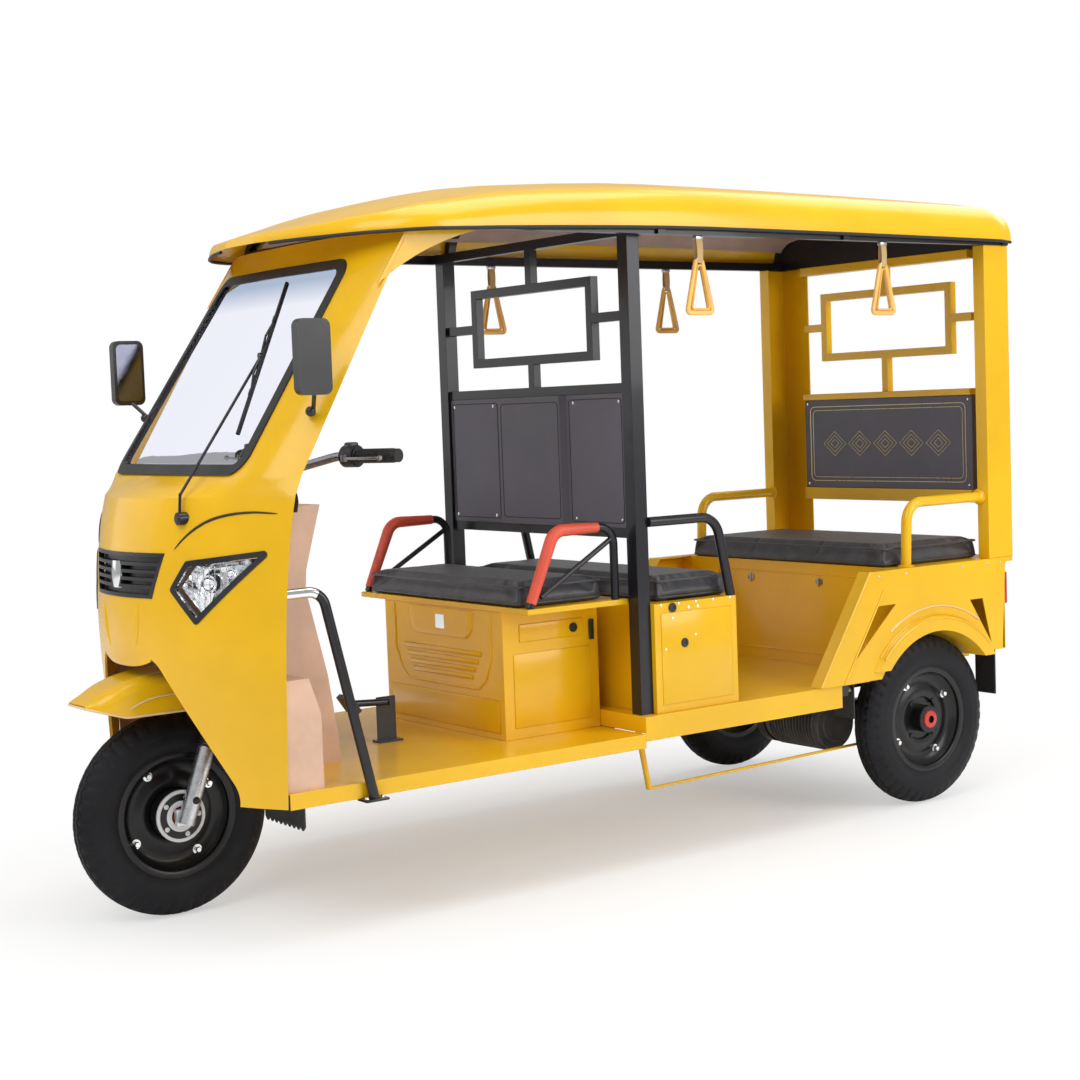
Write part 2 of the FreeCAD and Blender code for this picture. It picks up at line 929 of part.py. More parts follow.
def mirror():
    """The left mirror: a rounded case on a short arm from the pillar."""
    thick = val("mirror_thick")
    x_low = val("mirror_x") - thick / 2
    front = val("mirror_front")
    back = front + val("mirror_width")
    low = val("mirror_low")
    high = low + val("mirror_height")
    corners = [vec(x_low, y, z) for y, z in ((front, low), (back, low), (back, high), (front, high))]
    case = ring_prism(rounded_outline(corners, val("mirror_round")), vec(thick, 0, 0))
    foot_x = val("pillar_half - mirror_foot_in")
    foot = vec(foot_x, front + val("mirror_foot_back"), low - val("mirror_foot_drop"))
    seat = vec(val("mirror_x"), front + val("mirror_seat_back"), low + val("mirror_seat_rise"))
    arm = bar_between(foot, seat, val("mirror_arm"))
    return case.fuse(arm).cut(nose_solid(-gap))


name_piece(pair(made(mirror())), "mirrors")


# The roof: a moulded skin on arched bows, lofted through arched sections.
def roof_section(along, half, edge, rise, drop):
    """One arched section: a round side at each edge and a long crown between them."""
    shares = ((1, 0), (0.96, 0.42), (0.86, 0.66))
    side = [vec(half * wide, along, edge + rise * high) for wide, high in shares]
    other = [vec(-p.x, p.y, p.z) for p in side]
    crown = vec(0, along, edge + rise)
    right = vec(half, along, edge - drop)
    left = vec(-half, along, edge - drop)
    edges = [
        Part.Arc(side[0], side[1], side[2]),
        Part.Arc(side[2], crown, other[2]),
        Part.Arc(other[2], other[1], other[0]),
        Part.LineSegment(other[0], left),
        Part.LineSegment(left, right),
        Part.LineSegment(right, side[0]),
    ]
    return Part.Wire([edge.toShape() for edge in edges])


def roof_solid(inset, drop):
    """The roof's outer form drawn in by an inset; its front rounds in and dips to a visor."""
    half = val("roof_half")
    front = val("roof_front")
    edge = val("roof_edge")
    visor = val("visor_edge")
    rise = val("roof_rise")
    rear = val("rear_axle + rear_overhang")
    stations = [
        (front + inset, 0.15, 0, 0.09),
        (front + val("roof_tip"), 0.5, 0, 0.17),
        (front + val("roof_brow"), 0.84, 0.06, 0.34),
        (front + val("roof_shoulder"), 1, 0.22, 0.57),
        (front + val("roof_climb"), 1, 0.65, 0.9),
        (front + val("roof_crown"), 1, 1, 1),
        (rear - val("roof_tail"), 1, 0.8, 0.96),
        (rear - inset, 0.985, 0.72, 0.86),
    ]
    wires = []
    for along, wide, lift, high in stations:
        edge_here = visor + (edge - visor) * lift
        wires.append(roof_section(along, half * wide - inset, edge_here, rise * high - inset, drop))
    return Part.makeLoft(wires, True, True)


skirt = val("roof_skirt")
name_piece(made(roof_solid(0, skirt).cut(roof_solid(val("roof_wall"), 4 * skirt))), "roof_shell")


def roof_bows():
    """Arched bows that follow the skin's inside, spread evenly along the rails."""
    inset = val("roof_wall") + gap
    layer = roof_solid(inset, 60).cut(roof_solid(inset + val("bow_depth"), 90))
    start = val("roof_rail_front")
    end = val("rear_axle + rear_overhang - roof_wall - bow_width - bow_tail_gap")
    count = int(val("bow_count"))
    low = val("header_height") + gap
    half = val("roof_half")
    slots = []
    for i in range(count):
        place = start + (end - start) * i / (count - 1)
        slots.append(Part.makeBox(2 * half, val("bow_width"), half, vec(-half, place, low)))
    return layer.common(slots[0].fuse(slots[1:]))


RAIL_LOW = "header_height + seat_gap"
RAIL_TOP = f"({RAIL_LOW}) + rail_tube"
BODY_BACK = "rear_axle + rear_overhang - roof_wall"
RAIL_HALF = "(roof_half - rail_set)"
bars = twin_boxes(f"{RAIL_HALF} - rail_tube", RAIL_HALF, "roof_rail_front",
                  f"{BODY_BACK} - seat_gap", RAIL_LOW, RAIL_TOP)
for place in ("roof_rail_front", "mid_plane", f"{BODY_BACK} - rail_tube - seat_gap"):
    bars.append(box(f"-{RAIL_HALF}", RAIL_HALF, place, f"{place} + rail_tube", RAIL_LOW, RAIL_TOP))
name_piece(fuse(bars + [made(roof_bows())]), "roof_frame")


def hand_strap(place, x):
    """A webbing loop with its three-sided handle, hung from the roof rail."""
    top = RAIL_LOW
    bottom = f"{top} - strap_length"
    base = f"{bottom} - handle_height"
    strap = pad("XZ_Plane", [(f"{x} - strap_thick / 2", bottom), (f"{x} + strap_thick / 2", bottom),
                             (f"{x} + strap_thick / 2", top), (f"{x} - strap_thick / 2", top)],
                f"-({place}) - strap_width / 2", f"-({place}) + strap_width / 2")
    outer = [(f"{place} - handle_width / 2", base), (f"{place} + handle_width / 2", base),
             (f"{place} + handle_bar", f"{bottom} + handle_lap"),
             (f"{place} - handle_bar", f"{bottom} + handle_lap")]
    inner = [(f"{place} - handle_width / 2 + 1.4 * handle_bar", f"{base} + handle_bar"),
             (f"{place} + handle_width / 2 - 1.4 * handle_bar", f"{base} + handle_bar"),
             (f"{place} + 0.3 * handle_bar", f"{bottom} - handle_bar"),
             (f"{place} - 0.3 * handle_bar", f"{bottom} - handle_bar")]
    handle = pad("YZ_Plane", outer, f"{x} - handle_bar / 2", f"{x} + handle_bar / 2")
    window = pad("YZ_Plane", inner, f"{x} - handle_bar", f"{x} + handle_bar")
    return fuse([strap, cut(handle, [window])])


straps = []
for place in ("near_strap", "far_strap"):
    rail = f"({RAIL_HALF} - rail_tube / 2)"
    straps += [hand_strap(place, rail), hand_strap(place, f"-{rail}")]
name_piece(apart(straps), "hand_straps")


# The frames behind the driver and at the rear, each with a grille and a backrest panel.
def lattice(y_range, inner, low, high):
    """The window grille: a rectangle of bar held by a short stub at each side."""
    bar = "lattice_bar"
    parts = [
        box("-lattice_half", "lattice_half", *y_range, "lattice_low", f"lattice_low + {bar}"),
        box("-lattice_half", "lattice_half", *y_range, f"lattice_high - {bar}", "lattice_high"),
    ]
    parts += twin_boxes(f"lattice_half - {bar}", "lattice_half", *y_range, "lattice_low", "lattice_high")
    middle = "(lattice_low + lattice_high) / 2"
    parts += twin_boxes("lattice_half", inner, *y_range, f"{middle} - {bar} / 2", f"{middle} + {bar} / 2")
    parts.append(box(f"-{bar} / 2", f"{bar} / 2", *y_range, low, "lattice_low"))
    parts.append(box(f"-{bar} / 2", f"{bar} / 2", *y_range, "lattice_high", high))
    return parts


INNER = "mid_post_outer - mid_post"
bar_y = ("mid_plane + grille_set", "mid_plane + grille_set + lattice_bar")
parts = twin_boxes(INNER, "mid_post_outer", "mid_plane", "mid_plane + mid_post", "rear_floor", RAIL_LOW)
parts += lattice(bar_y, INNER, "mid_panel_high", RAIL_LOW)
parts.append(box(f"-({INNER})", INNER, *bar_y, "mid_panel_high", "mid_panel_high + lattice_bar"))
parts.append(box(f"-({INNER})", INNER, *bar_y, "mid_panel_low - lattice_bar", "mid_panel_low"))
name_piece(fuse(parts), "middle_frame")
PANEL_BACK = "mid_plane + grille_set + panel_thick"
name_piece(
    pad("XY_Plane", [
        (f"-({INNER})", "mid_plane + grille_set"), ("-panel_centre", "mid_plane + grille_set"),
        ("-panel_centre + panel_step", "mid_plane + grille_set - panel_step"),
        ("panel_centre - panel_step", "mid_plane + grille_set - panel_step"),
        ("panel_centre", "mid_plane + grille_set"), (INNER, "mid_plane + grille_set"),
        (INNER, PANEL_BACK), (f"-({INNER})", PANEL_BACK),
    ], "mid_panel_low", "mid_panel_high"),
    "middle_backrest",
)


def channel_post():
    """The left rear post: folded sheet that opens inwards, with a wide flange at the back."""
    out = "rear_post_outer"
    corners = [
        ("rear_return", "rear_post_front"), (out, "rear_post_front"), (out, BODY_BACK),
        ("rear_post_inner", BODY_BACK), ("rear_post_inner", f"{BODY_BACK} - post_wall"),
        (f"{out} - post_wall", f"{BODY_BACK} - post_wall"),
        (f"{out} - post_wall", "rear_post_front + post_wall"),
        ("rear_return", "rear_post_front + post_wall"),
    ]
    return pad("XY_Plane", corners, "bench_height", RAIL_LOW)


beam_y = (f"{BODY_BACK} - rear_beam_deep", BODY_BACK)
grille_y = (f"{BODY_BACK} - lattice_bar", BODY_BACK)
POST_IN = "rear_post_inner"
post = channel_post()
parts = [post, mirrored(post)]
for low, high in ((f"{RAIL_LOW} - rear_beam", RAIL_LOW), ("rear_panel_low - rear_rail", "rear_panel_low"),
                  ("rear_panel_high", "rear_panel_high + panel_rail")):
    parts.append(box(f"-{POST_IN}", POST_IN, *beam_y, low, high))
parts += lattice(grille_y, POST_IN, "rear_panel_high + panel_rail", f"{RAIL_LOW} - rear_beam")
name_piece(fuse(parts), "rear_frame")
name_piece(
    box(f"-{POST_IN}", POST_IN, f"{BODY_BACK} - panel_thick - post_wall", f"{BODY_BACK} - post_wall",
        "rear_panel_low", "rear_panel_high"),
    "rear_backrest",
)


# The floors and the chassis under them.
FRONT_UNDER = "front_floor - floor_sheet"
REAR_UNDER = "rear_floor - floor_sheet"
SILL_START = "shell_back + sill_set"
NOTCH = "lining_back + floor_notch"
front_plate = [box("-sill_half", "sill_half", NOTCH, "floor_step", FRONT_UNDER, "front_floor")]
front_plate += twin_boxes("tunnel_half - lining_wall", "sill_half", SILL_START, NOTCH,
                          FRONT_UNDER, "front_floor")
front_plate += twin_boxes("sill_half - floor_sheet", "sill_half", SILL_START, "floor_step", "front_sill_low",
                          "front_floor")


def corner_plates():
    """The narrow strips of floor that reach into the nose's two rear corners."""
    half = val("shell_half")
    inner = val("arch_foot_half - corner_in")
    deep = val("corner_deep")
    thick = val("floor_sheet")
    start = val(SILL_START) - deep
    low = val(FRONT_UNDER)
    strip = Part.makeBox(2 * half, deep, thick, vec(-half, start, low))
    between = Part.makeBox(2 * inner, 3 * deep, 3 * thick, vec(-inner, start - deep, low - thick))
    return strip.cut(between).common(nose_solid(wall + gap))


front_plate.append(made(corner_plates()))
name_piece(fuse(front_plate), "front_floor")
STEP = "floor_step + floor_sheet"
rear_plate = [
    box("-sill_half", "sill_half", "floor_step", "ledge_front", REAR_UNDER, "rear_floor"),
    box("-bench_inner_half", "bench_inner_half", "floor_step", "body_back", REAR_UNDER, "rear_floor"),
    box("-sill_half", "sill_half", "floor_step", STEP, "front_floor + step_gap", "rear_floor"),
]
rear_plate += twin_boxes("sill_half - floor_sheet", "sill_half", "floor_step", "slant_foot + band_width",
                         "rear_sill_low", "rear_floor")
name_piece(fuse(rear_plate), "rear_floor")

RAIL_IN = "rail_half - rail_width / 2"
RAIL_OUT = "rail_half + rail_width / 2"
FRONT_LOW = f"{FRONT_UNDER} - rail_height"
rails = twin_boxes(RAIL_IN, RAIL_OUT, "floor_start", STEP, FRONT_LOW, FRONT_UNDER)
rails += twin_boxes(RAIL_IN, RAIL_OUT, STEP, "tail_rail", f"{REAR_UNDER} - rail_height", REAR_UNDER)
rails += twin_boxes(RAIL_IN, RAIL_OUT, STEP, f"{STEP} + rail_width", FRONT_LOW, REAR_UNDER)
ACROSS = "sill_half - floor_sheet"
crosses = [
    ("front_cross", RAIL_OUT, FRONT_UNDER, "rail_height"),
    ("mid_cross", ACROSS, FRONT_UNDER, "cross_height"),
    ("bench_cross", ACROSS, REAR_UNDER, "cross_height"),
    ("rear_cross", ACROSS, REAR_UNDER, "cross_height"),
    ("tail_rail - cross_width", RAIL_OUT, REAR_UNDER, "rail_height"),
]
for place, reach, top, height in crosses:
    rails.append(box(f"-({reach})", reach, place, f"{place} + cross_width", f"{top} - {height}", top))
name_piece(fuse(rails), "chassis")


# The seats: sheet boxes with hinged cushions.
def seat_box(half, front, back, low, high):
    """A sheet box with an open top, and the room inside it."""
    shell = box(f"-({half})", half, front, back, low, high)
    room = box(f"-({half}) + box_sheet", f"({half}) - box_sheet", f"({front}) + box_sheet",
               f"({back}) - box_sheet", f"({low}) + box_sheet", f"({high}) + box_sheet")
    return shell, room


def hatch_room(half, front, back, low, high):
    """The cutter for a seat plate's hatch, which leaves a border all round under the cushion."""
    return box(f"-{half} + hatch_border", f"{half} - hatch_border", f"{front} + hatch_border",
               f"{back} - hatch_border", f"{low} - seat_plate", f"{high} + seat_plate")


def cushion(half, front, back, height):
    """A plain seat cushion."""
    return pad("XY_Plane", [(f"-{half}", front), (half, front), (half, back), (f"-{half}", back)],
               f"{height} + seat_gap", f"{height} + cushion_thick")


PLATE_LOW = "driver_seat_height - seat_plate"
BOX_BACK = "floor_step - step_gap"
PLATE_BACK = "mid_plane - step_gap"
shell_box, room = seat_box("driver_box_half", "driver_box_front", BOX_BACK, "front_floor", PLATE_LOW)
plate = box("-driver_plate_half", "driver_plate_half", "driver_box_front - seat_lip", PLATE_BACK, PLATE_LOW,
            "driver_seat_height")
hatch = hatch_room("driver_box_half", "driver_box_front", "driver_cushion_back", PLATE_LOW,
                   "driver_seat_height")
name_piece(cut(fuse([cut(shell_box, [room]), plate]), [hatch]), "driver_box")
name_piece(
    cushion("driver_cushion_half", "driver_box_front - seat_lip", "driver_cushion_back",
            "driver_seat_height"),
    "driver_cushion",
)

MID_LOW = "middle_seat_height - seat_plate"
MID_START = "mid_plane + mid_post + step_gap"
shell_box, room = seat_box("middle_box_half", MID_START, "middle_box_back", "rear_floor",
                           "middle_seat_height")
plate = box("-middle_box_half", "middle_box_half", MID_START, "middle_box_back", MID_LOW,
            "middle_seat_height")
hatch = hatch_room("middle_box_half", "middle_cushion_front", "middle_box_back", MID_LOW,
                   "middle_seat_height")
name_piece(cut(fuse([cut(shell_box, [room]), plate]), [hatch]), "middle_box")
name_piece(
    cushion("middle_cushion_half", "middle_cushion_front", "middle_box_back + middle_overhang",
            "middle_seat_height"),
    "middle_cushion",
)

SIDE_IN = "side_out - side_wall - seat_gap"
ARCH = "fender_radius + fender_wall + seat_gap"
arch_room = rod("bench_inner_half + seat_gap", "side_out + lip_width", "rear_axle", "tyre_radius", ARCH)
shell_box, room = seat_box("bench_inner_half", "bench_front", "body_back", "rear_floor", "bench_height")
DECK_LOW = "bench_height - seat_plate"
deck = box(f"-({SIDE_IN})", SIDE_IN, "bench_front", BODY_BACK, DECK_LOW, "bench_height")
fascia = box(f"-({SIDE_IN})", SIDE_IN, "bench_front", "bench_front + box_sheet", "rear_floor",
             "bench_height")
tail = box(f"-({SIDE_IN})", SIDE_IN, "body_back - box_sheet", "body_back", "body_back_low", "bench_height")
hatch = hatch_room("bench_inner_half", "bench_front", "rear_cushion_back", DECK_LOW, "bench_height")
bench = fuse([cut(shell_box, [room]), deck, fascia, tail])
name_piece(cut(bench, [hatch, arch_room, mirrored(arch_room)]), "rear_box")
name_piece(cushion("rear_cushion_half", "bench_front - cushion_nose", "rear_cushion_back", "bench_height"),
           "rear_cushion")


def hinge_leaves(face, way, seat):
    """The two moving leaves of a seat's hinges, with the bores of their pins."""
    pivot_y = f"({face}) + {way} * pivot_set"
    pivot_z = f"{seat} + pivot_height"
    leaves = []
    for middle in ("hinge_half", "-hinge_half"):
        low, high = f"{middle} - knuckle_length / 2", f"{middle} + knuckle_length / 2"
        barrel = rod(low, high, pivot_y, pivot_z, "knuckle_radius")
        near, far = (face, f"({face}) + leaf_thick") if way > 0 else (f"({face}) - leaf_thick", face)
        leaf = box(low, high, near, far, f"{seat} + seat_gap", f"{seat} + leaf_height")
        web_y = (face, pivot_y) if way > 0 else (pivot_y, face)
        web = box(low, high, *web_y, f"{pivot_z} - leaf_thick", f"{pivot_z} + leaf_thick")
        bore = rod(f"{low} - 1", f"{high} + 1", pivot_y, pivot_z, "pivot_radius + pin_gap")
        leaves.append(cut(fuse([barrel, leaf, web]), [bore]))
    return apart(leaves)


def hinge_pins(face, way, seat):
    """The pins, with the ears that hold them on a seat's plate."""
    pivot_y = f"({face}) + {way} * pivot_set"
    pivot_z = f"{seat} + pivot_height"
    reach = "(knuckle_length / 2 + ear_gap)"
    stands = []
    for middle in ("hinge_half", "-hinge_half"):
        parts = [rod(f"{middle} - {reach} - ear_thick", f"{middle} + {reach} + ear_thick", pivot_y, pivot_z,
                     "pivot_radius")]
        rim_out = "pivot_radius + ear_rim"
        for low, high in ((f"{middle} - {reach} - ear_thick", f"{middle} - {reach}"),
                          (f"{middle} + {reach}", f"{middle} + {reach} + ear_thick")):
            parts.append(box(low, high, f"{pivot_y} - ({rim_out})", f"{pivot_y} + {rim_out}", seat,
                             f"{pivot_z} + {rim_out}"))
        stands.append(fuse(parts))
    return stands


seats = [("driver", "driver_cushion_back", 1, "driver_seat_height"),
         ("middle", "middle_cushion_front", -1, "middle_seat_height"),
         ("rear", "rear_cushion_back", 1, "bench_height")]
stands = []
for seat, face, way, height in seats:
    name_piece(hinge_leaves(face, way, height), f"{seat}_hinge_leaves")
    stands += hinge_pins(face, way, height)
name_piece(apart(stands), "hinge_pins")


# The tubes beside the seats.
def above(shape, height):
    """What of a shape lies above a seat's plate or a floor."""
    wide = 2 * val("roof_half")
    ahead = val("nose_front") - wide
    length = val("rear_axle + rear_overhang") - ahead
    return shape.common(Part.makeBox(2 * wide, length, wide, vec(-wide, ahead, height)))


half = val("armrest_half")
low = val("driver_seat_height")
top = val("armrest_top")
front = val("driver_box_front + armrest_foot")
lean = val("armrest_lean")
sunk = 2 * val("arm_tube")
arm = tube([(half, front - lean * sunk / (top - low), low - sunk), (half, front + lean, top),
            (half, val("armrest_back"), top), (half, val("armrest_back"), low - sunk)],
           val("armrest_radius"), val("armrest_bend"))
brace_foot = vec(half, front + val("brace_foot"), low + val("brace_low"))
brace_head = vec(half, val("armrest_back - brace_head"), top - val("brace_drop"))
brace = bar_between(brace_foot, brace_head, val("brace_radius"))
name_piece(pair(made(above(arm.fuse(brace), low))), "driver_armrests")

half = val("middle_rail_half")
low = val("middle_seat_height")
top = val("middle_rail_top")
foot = val("middle_box_back - rail_pipe")
rail = tube([(half, val("mid_plane + mid_post"), top), (half, foot - val("middle_rail_lean"), top),
             (half, foot + val("middle_rail_foot"), low - sunk)], val("rail_pipe"), val("middle_rail_bend"))
name_piece(pair(made(above(rail, low))), "middle_rails")

half = val("arm_half")
low = val("bench_height")
rail = tube([(half, val("rear_post_front"), val("arm_top")), (half, val("arm_front"), val("arm_top")),
             (half, val("arm_front - arm_foot"), low - sunk)], val("arm_tube"), val("arm_bend"))
name_piece(pair(made(above(rail, low))), "rear_armrails")


# The rear body sides with their flared wheel arches.
def side_sheet():
    """The left side sheet with its two recesses, folded in along the slanted edge."""
    lean = "(ledge_front - slant_foot) / (bench_height - rear_floor)"
    foot = "rear_floor + seat_gap"
    corners = [
        ("slant_foot", foot), ("ledge_front", "bench_height"), (BODY_BACK, "bench_height"),
        ("body_back", "bench_height - tail_chamfer"), ("body_back - tail_chamfer", "body_back_low"),
        ("rear_axle", "body_back_low"),
        ("rear_axle", foot),
    ]
    sheet_body = pad("YZ_Plane", corners, "side_out - side_wall", "side_out")
    front_gap = [
        (f"slant_foot + band_width + {lean} * (recess_low - rear_floor)", "recess_low"),
        ("recess_end", "recess_top"),
        (f"slant_foot + band_width + {lean} * (recess_top - rear_floor)", "recess_top"),
    ]
    rear_top = "recess_top - rear_recess_drop"
    rear_gap = [
        ("rear_recess_foot", "recess_low"),
        ("rear_recess_back", rear_top),
        ("rear_recess_front", rear_top),
    ]
    windows = []
    for corners in (front_gap, rear_gap):
        windows.append(pad("YZ_Plane", corners, "side_out - 2 * side_wall", "side_out + side_wall"))
    fold_corners = [("slant_foot", foot), ("ledge_front", "bench_height"),
                    ("ledge_front + side_wall * 1.2", "bench_height"), ("slant_foot + side_wall * 1.2", foot)]
    fold = pad("YZ_Plane", fold_corners, "side_out - flange_deep", "side_out")
    ledge = box("side_out - flange_deep", "side_out", "ledge_front", "bench_front - seat_gap",
                "bench_height - side_wall", "bench_height")
    wheel_room = rod("side_out - 2 * flange_deep", "side_out + flange_deep", "rear_axle", "tyre_radius", ARCH)
    return cut(fuse([cut(sheet_body, windows), fold, ledge]), [wheel_room])


name_piece(pair(side_sheet()), "side_panels")


def wheel_house():
    """The left wheel's arch: a round roof over the tyre, with a flared, stepped lip outside the sheet."""
    centre = vec(val("bench_inner_half + seat_gap"), val("rear_axle"), val("tyre_radius"))
    radius = val("fender_radius")
    wall = val("fender_wall")
    reach = val("fender_half") - centre.x
    hollow = Part.makeCylinder(radius, 2 * reach, centre + vec(wall, 0, 0), vec(1, 0, 0))
    arch = Part.makeCylinder(radius + wall, reach, centre, vec(1, 0, 0))
    start = val("side_out") + gap
    lip_foot = radius + val("lip_width")
    cone = Part.makeCone(lip_foot, lip_foot - val("lip_step"), val("fender_half") - start,
                         vec(start, centre.y, centre.z), vec(1, 0, 0))
    wide = 2 * lip_foot
    corner = vec(centre.x - wall, centre.y - wide, val("fender_low") - wide)
    below = Part.makeBox(wide, 2 * wide, wide, corner)
    return arch.fuse(cone).cut([hollow, below])


name_piece(pair(made(wheel_house())), "rear_fenders")

flap_x = ("flap_inner", "flap_outer")
flap_front = box(*flap_x, "front_flap", "front_flap + flap_thick", "flap_low", REAR_UNDER)
HANGER_LOW = "body_back_low + flap_hanger_low"
HANGER_TOP = "body_back_low + flap_hanger_high"
flap_back = fuse([
    box(*flap_x, "rear_flap", "rear_flap + flap_thick", "flap_low", HANGER_TOP),
    box(*flap_x, "rear_flap", "body_back - box_sheet - seat_gap", HANGER_LOW, HANGER_TOP),
])
name_piece(apart([flap_front, mirrored(flap_front), flap_back, mirrored(flap_back)]), "mud_flaps")
tail_lamp = box("tail_lamp_x - tail_lamp_width / 2", "tail_lamp_x + tail_lamp_width / 2", "body_back",
                "body_back + tail_lamp_deep", "tail_lamp_low", "tail_lamp_low + tail_lamp_height")
name_piece(pair(tail_lamp), "tail_lamps")


# The steering: fork, handlebar, mudguard and the head that carries them.
rake = math.radians(val("rake"))
up = vec(0, math.sin(rake), math.cos(rake))
axle_y = val("front_axle")
axle_z = val("tyre_radius")
foot = vec(0, axle_y + val("trail_offset"), axle_z)


def on_axis(height, x=0):
    """The point of the steering axis at this height, or beside it."""
    return foot + up * ((height - foot.z) / up.z) + vec(x, 0, 0)


def front_fork():
    """Two raked legs with sliders and axle lugs, the yoke over the tyre, the stem and the axle."""
    spread = val("leg_spread")
    length = (val("yoke_height") - axle_z + val("leg_foot")) / up.z
    lug = val("lug_length")
    parts = []
    for sign in (-1, 1):
        low_end = on_axis(axle_z - val("leg_foot"), sign * spread)
        parts.append(Part.makeCylinder(val("slider_radius"), val("slider_length"), low_end, up))
        parts.append(Part.makeCylinder(val("leg_radius"), length, low_end, up))
        lug_x = sign * (spread - val("lug_set")) - val("lug_width") / 2
        corner = vec(lug_x, axle_y - lug / 2, axle_z - lug / 2)
        parts.append(Part.makeBox(val("lug_width"), lug, lug, corner))
    wide = val("yoke_width")
    deep = val("yoke_length")
    yoke = Part.makeBox(wide, deep, val("yoke_thick"), vec(-wide / 2, -deep / 2, 0))
    yoke.rotate(vec(0, 0, 0), vec(1, 0, 0), -val("rake"))
    yoke.translate(on_axis(val("yoke_height - yoke_thick / 2")))
    stem = bar_between(on_axis(val("yoke_height")), on_axis(val("bar_height")), val("stem_radius"))
    axle_half = spread + val("axle_stub")
    axle = bar_between(vec(-axle_half, axle_y, axle_z), vec(axle_half, axle_y, axle_z), val("axle_radius"))
    return parts[0].fuse(parts[1:] + [yoke, stem, axle])


fork = front_fork()
name_piece(made(fork), "front_fork")

centre = on_axis(val("bar_height"))
bar_top = centre.z + val("bar_rise")
bar_end = vec(val("bar_half"), centre.y + val("bar_sweep"), bar_top)
elbow = vec(val("bar_elbow"), centre.y + val("bar_sweep") * 0.6, bar_top)
knee = vec(val("bar_flat"), centre.y, centre.z + val("bar_knee"))
right_side = [(p.x, p.y, p.z) for p in (knee, elbow, bar_end)]
left_side = [(-x, y, z) for x, y, z in reversed(right_side)]
bar = tube(left_side + right_side, val("bar_radius"), val("bar_bend"))
clamp_corner = vec(val("-clamp_width / 2"), centre.y - val("clamp_length / 2"), centre.z - val("clamp_drop"))
clamp = Part.makeBox(val("clamp_width"), val("clamp_length"), val("clamp_height"), clamp_corner)
name_piece(made(bar.fuse(clamp).cut(fork)), "handlebar")
way = (bar_end - elbow).normalize()
base = bar_end - way * val("grip_length")
grip = Part.makeCylinder(val("grip_radius"), val("grip_length + grip_cap"), base, way)
switch = Part.makeCylinder(val("switch_radius"), val("switch_length"), base - way * val("switch_length"), way)
half = val("bar_half")
bore = Part.makeCylinder(val("bar_radius + pin_gap"), half, bar_end - way * half, way)
name_piece(pair(made(grip.fuse(switch).cut(bore))), "handlebar_grips")


def front_mudguard():
    """A beak-shaped guard over the front tyre, hollow below, carried by the fork's legs."""
    wall = val("guard_wall")

    def form(inset):
        more = 10 if inset else 0
        tip = val("guard_tip") + 2 * inset
        top = val("guard_top") - inset
        low = val("guard_low") - 4 * more
        back = val("guard_back") + more
        half = val("guard_half") - inset
        beak = vec(-half, tip, val("guard_low + guard_beak") - inset)
        heel = vec(-half, back, top - val("guard_fall"))
        edges = [
            Part.Arc(beak, vec(-half, val("guard_crown"), top), heel),
            Part.LineSegment(heel, vec(-half, back, low)),
            Part.LineSegment(vec(-half, back, low), vec(-half, tip + val("guard_foot"), low)),
            Part.LineSegment(vec(-half, tip + val("guard_foot"), low), beak),
        ]
        block = ring_prism(Part.Wire([edge.toShape() for edge in edges]), vec(2 * half, 0, 0))
        crown = [e for e in block.Edges if e.Curve.TypeId == "Part::GeomCircle"]
        return block.makeChamfer(val("guard_edge"), crown)

    return form(0).cut([form(wall), fork])


name_piece(made(front_mudguard()), "front_mudguard")


def steering_head():
    """The head tube and the two struts that stand it on the chassis."""
    floor = val(FRONT_UNDER)
    top = "bar_height - head_drop"
    head = bar_between(on_axis(val("head_low")), on_axis(val(top)), val("head_radius"))
    foot_y = val("front_cross + cross_width / 2 + strut_set")
    struts = []
    for sign in (-1, 1):
        low_end = vec(sign * val("strut_foot"), foot_y, floor - val("strut_sink"))
        high_end = on_axis(val(f"(head_low + {top}) / 2 + strut_up"), sign * val("strut_head"))
        struts.append(bar_between(low_end, high_end, val("strut_radius")))
    bore_ends = [on_axis(val(end)) for end in ("head_low - head_radius", f"{top} + head_radius")]
    bore = bar_between(*bore_ends, val("stem_radius") + gap)
    return above(head.fuse(struts), floor).cut(bore)


name_piece(made(steering_head()), "steering_head")


# The moulded lining behind the nose, its dashboard and the grab rails.
def side_view_prism(points, half):
    """The solid between the vehicle's two sides of an outline seen from the side."""
    wire = Part.makePolygon([vec(-half, y, z) for y, z in points + points[:1]])
    return ring_prism(wire, vec(2 * half, 0, 0))


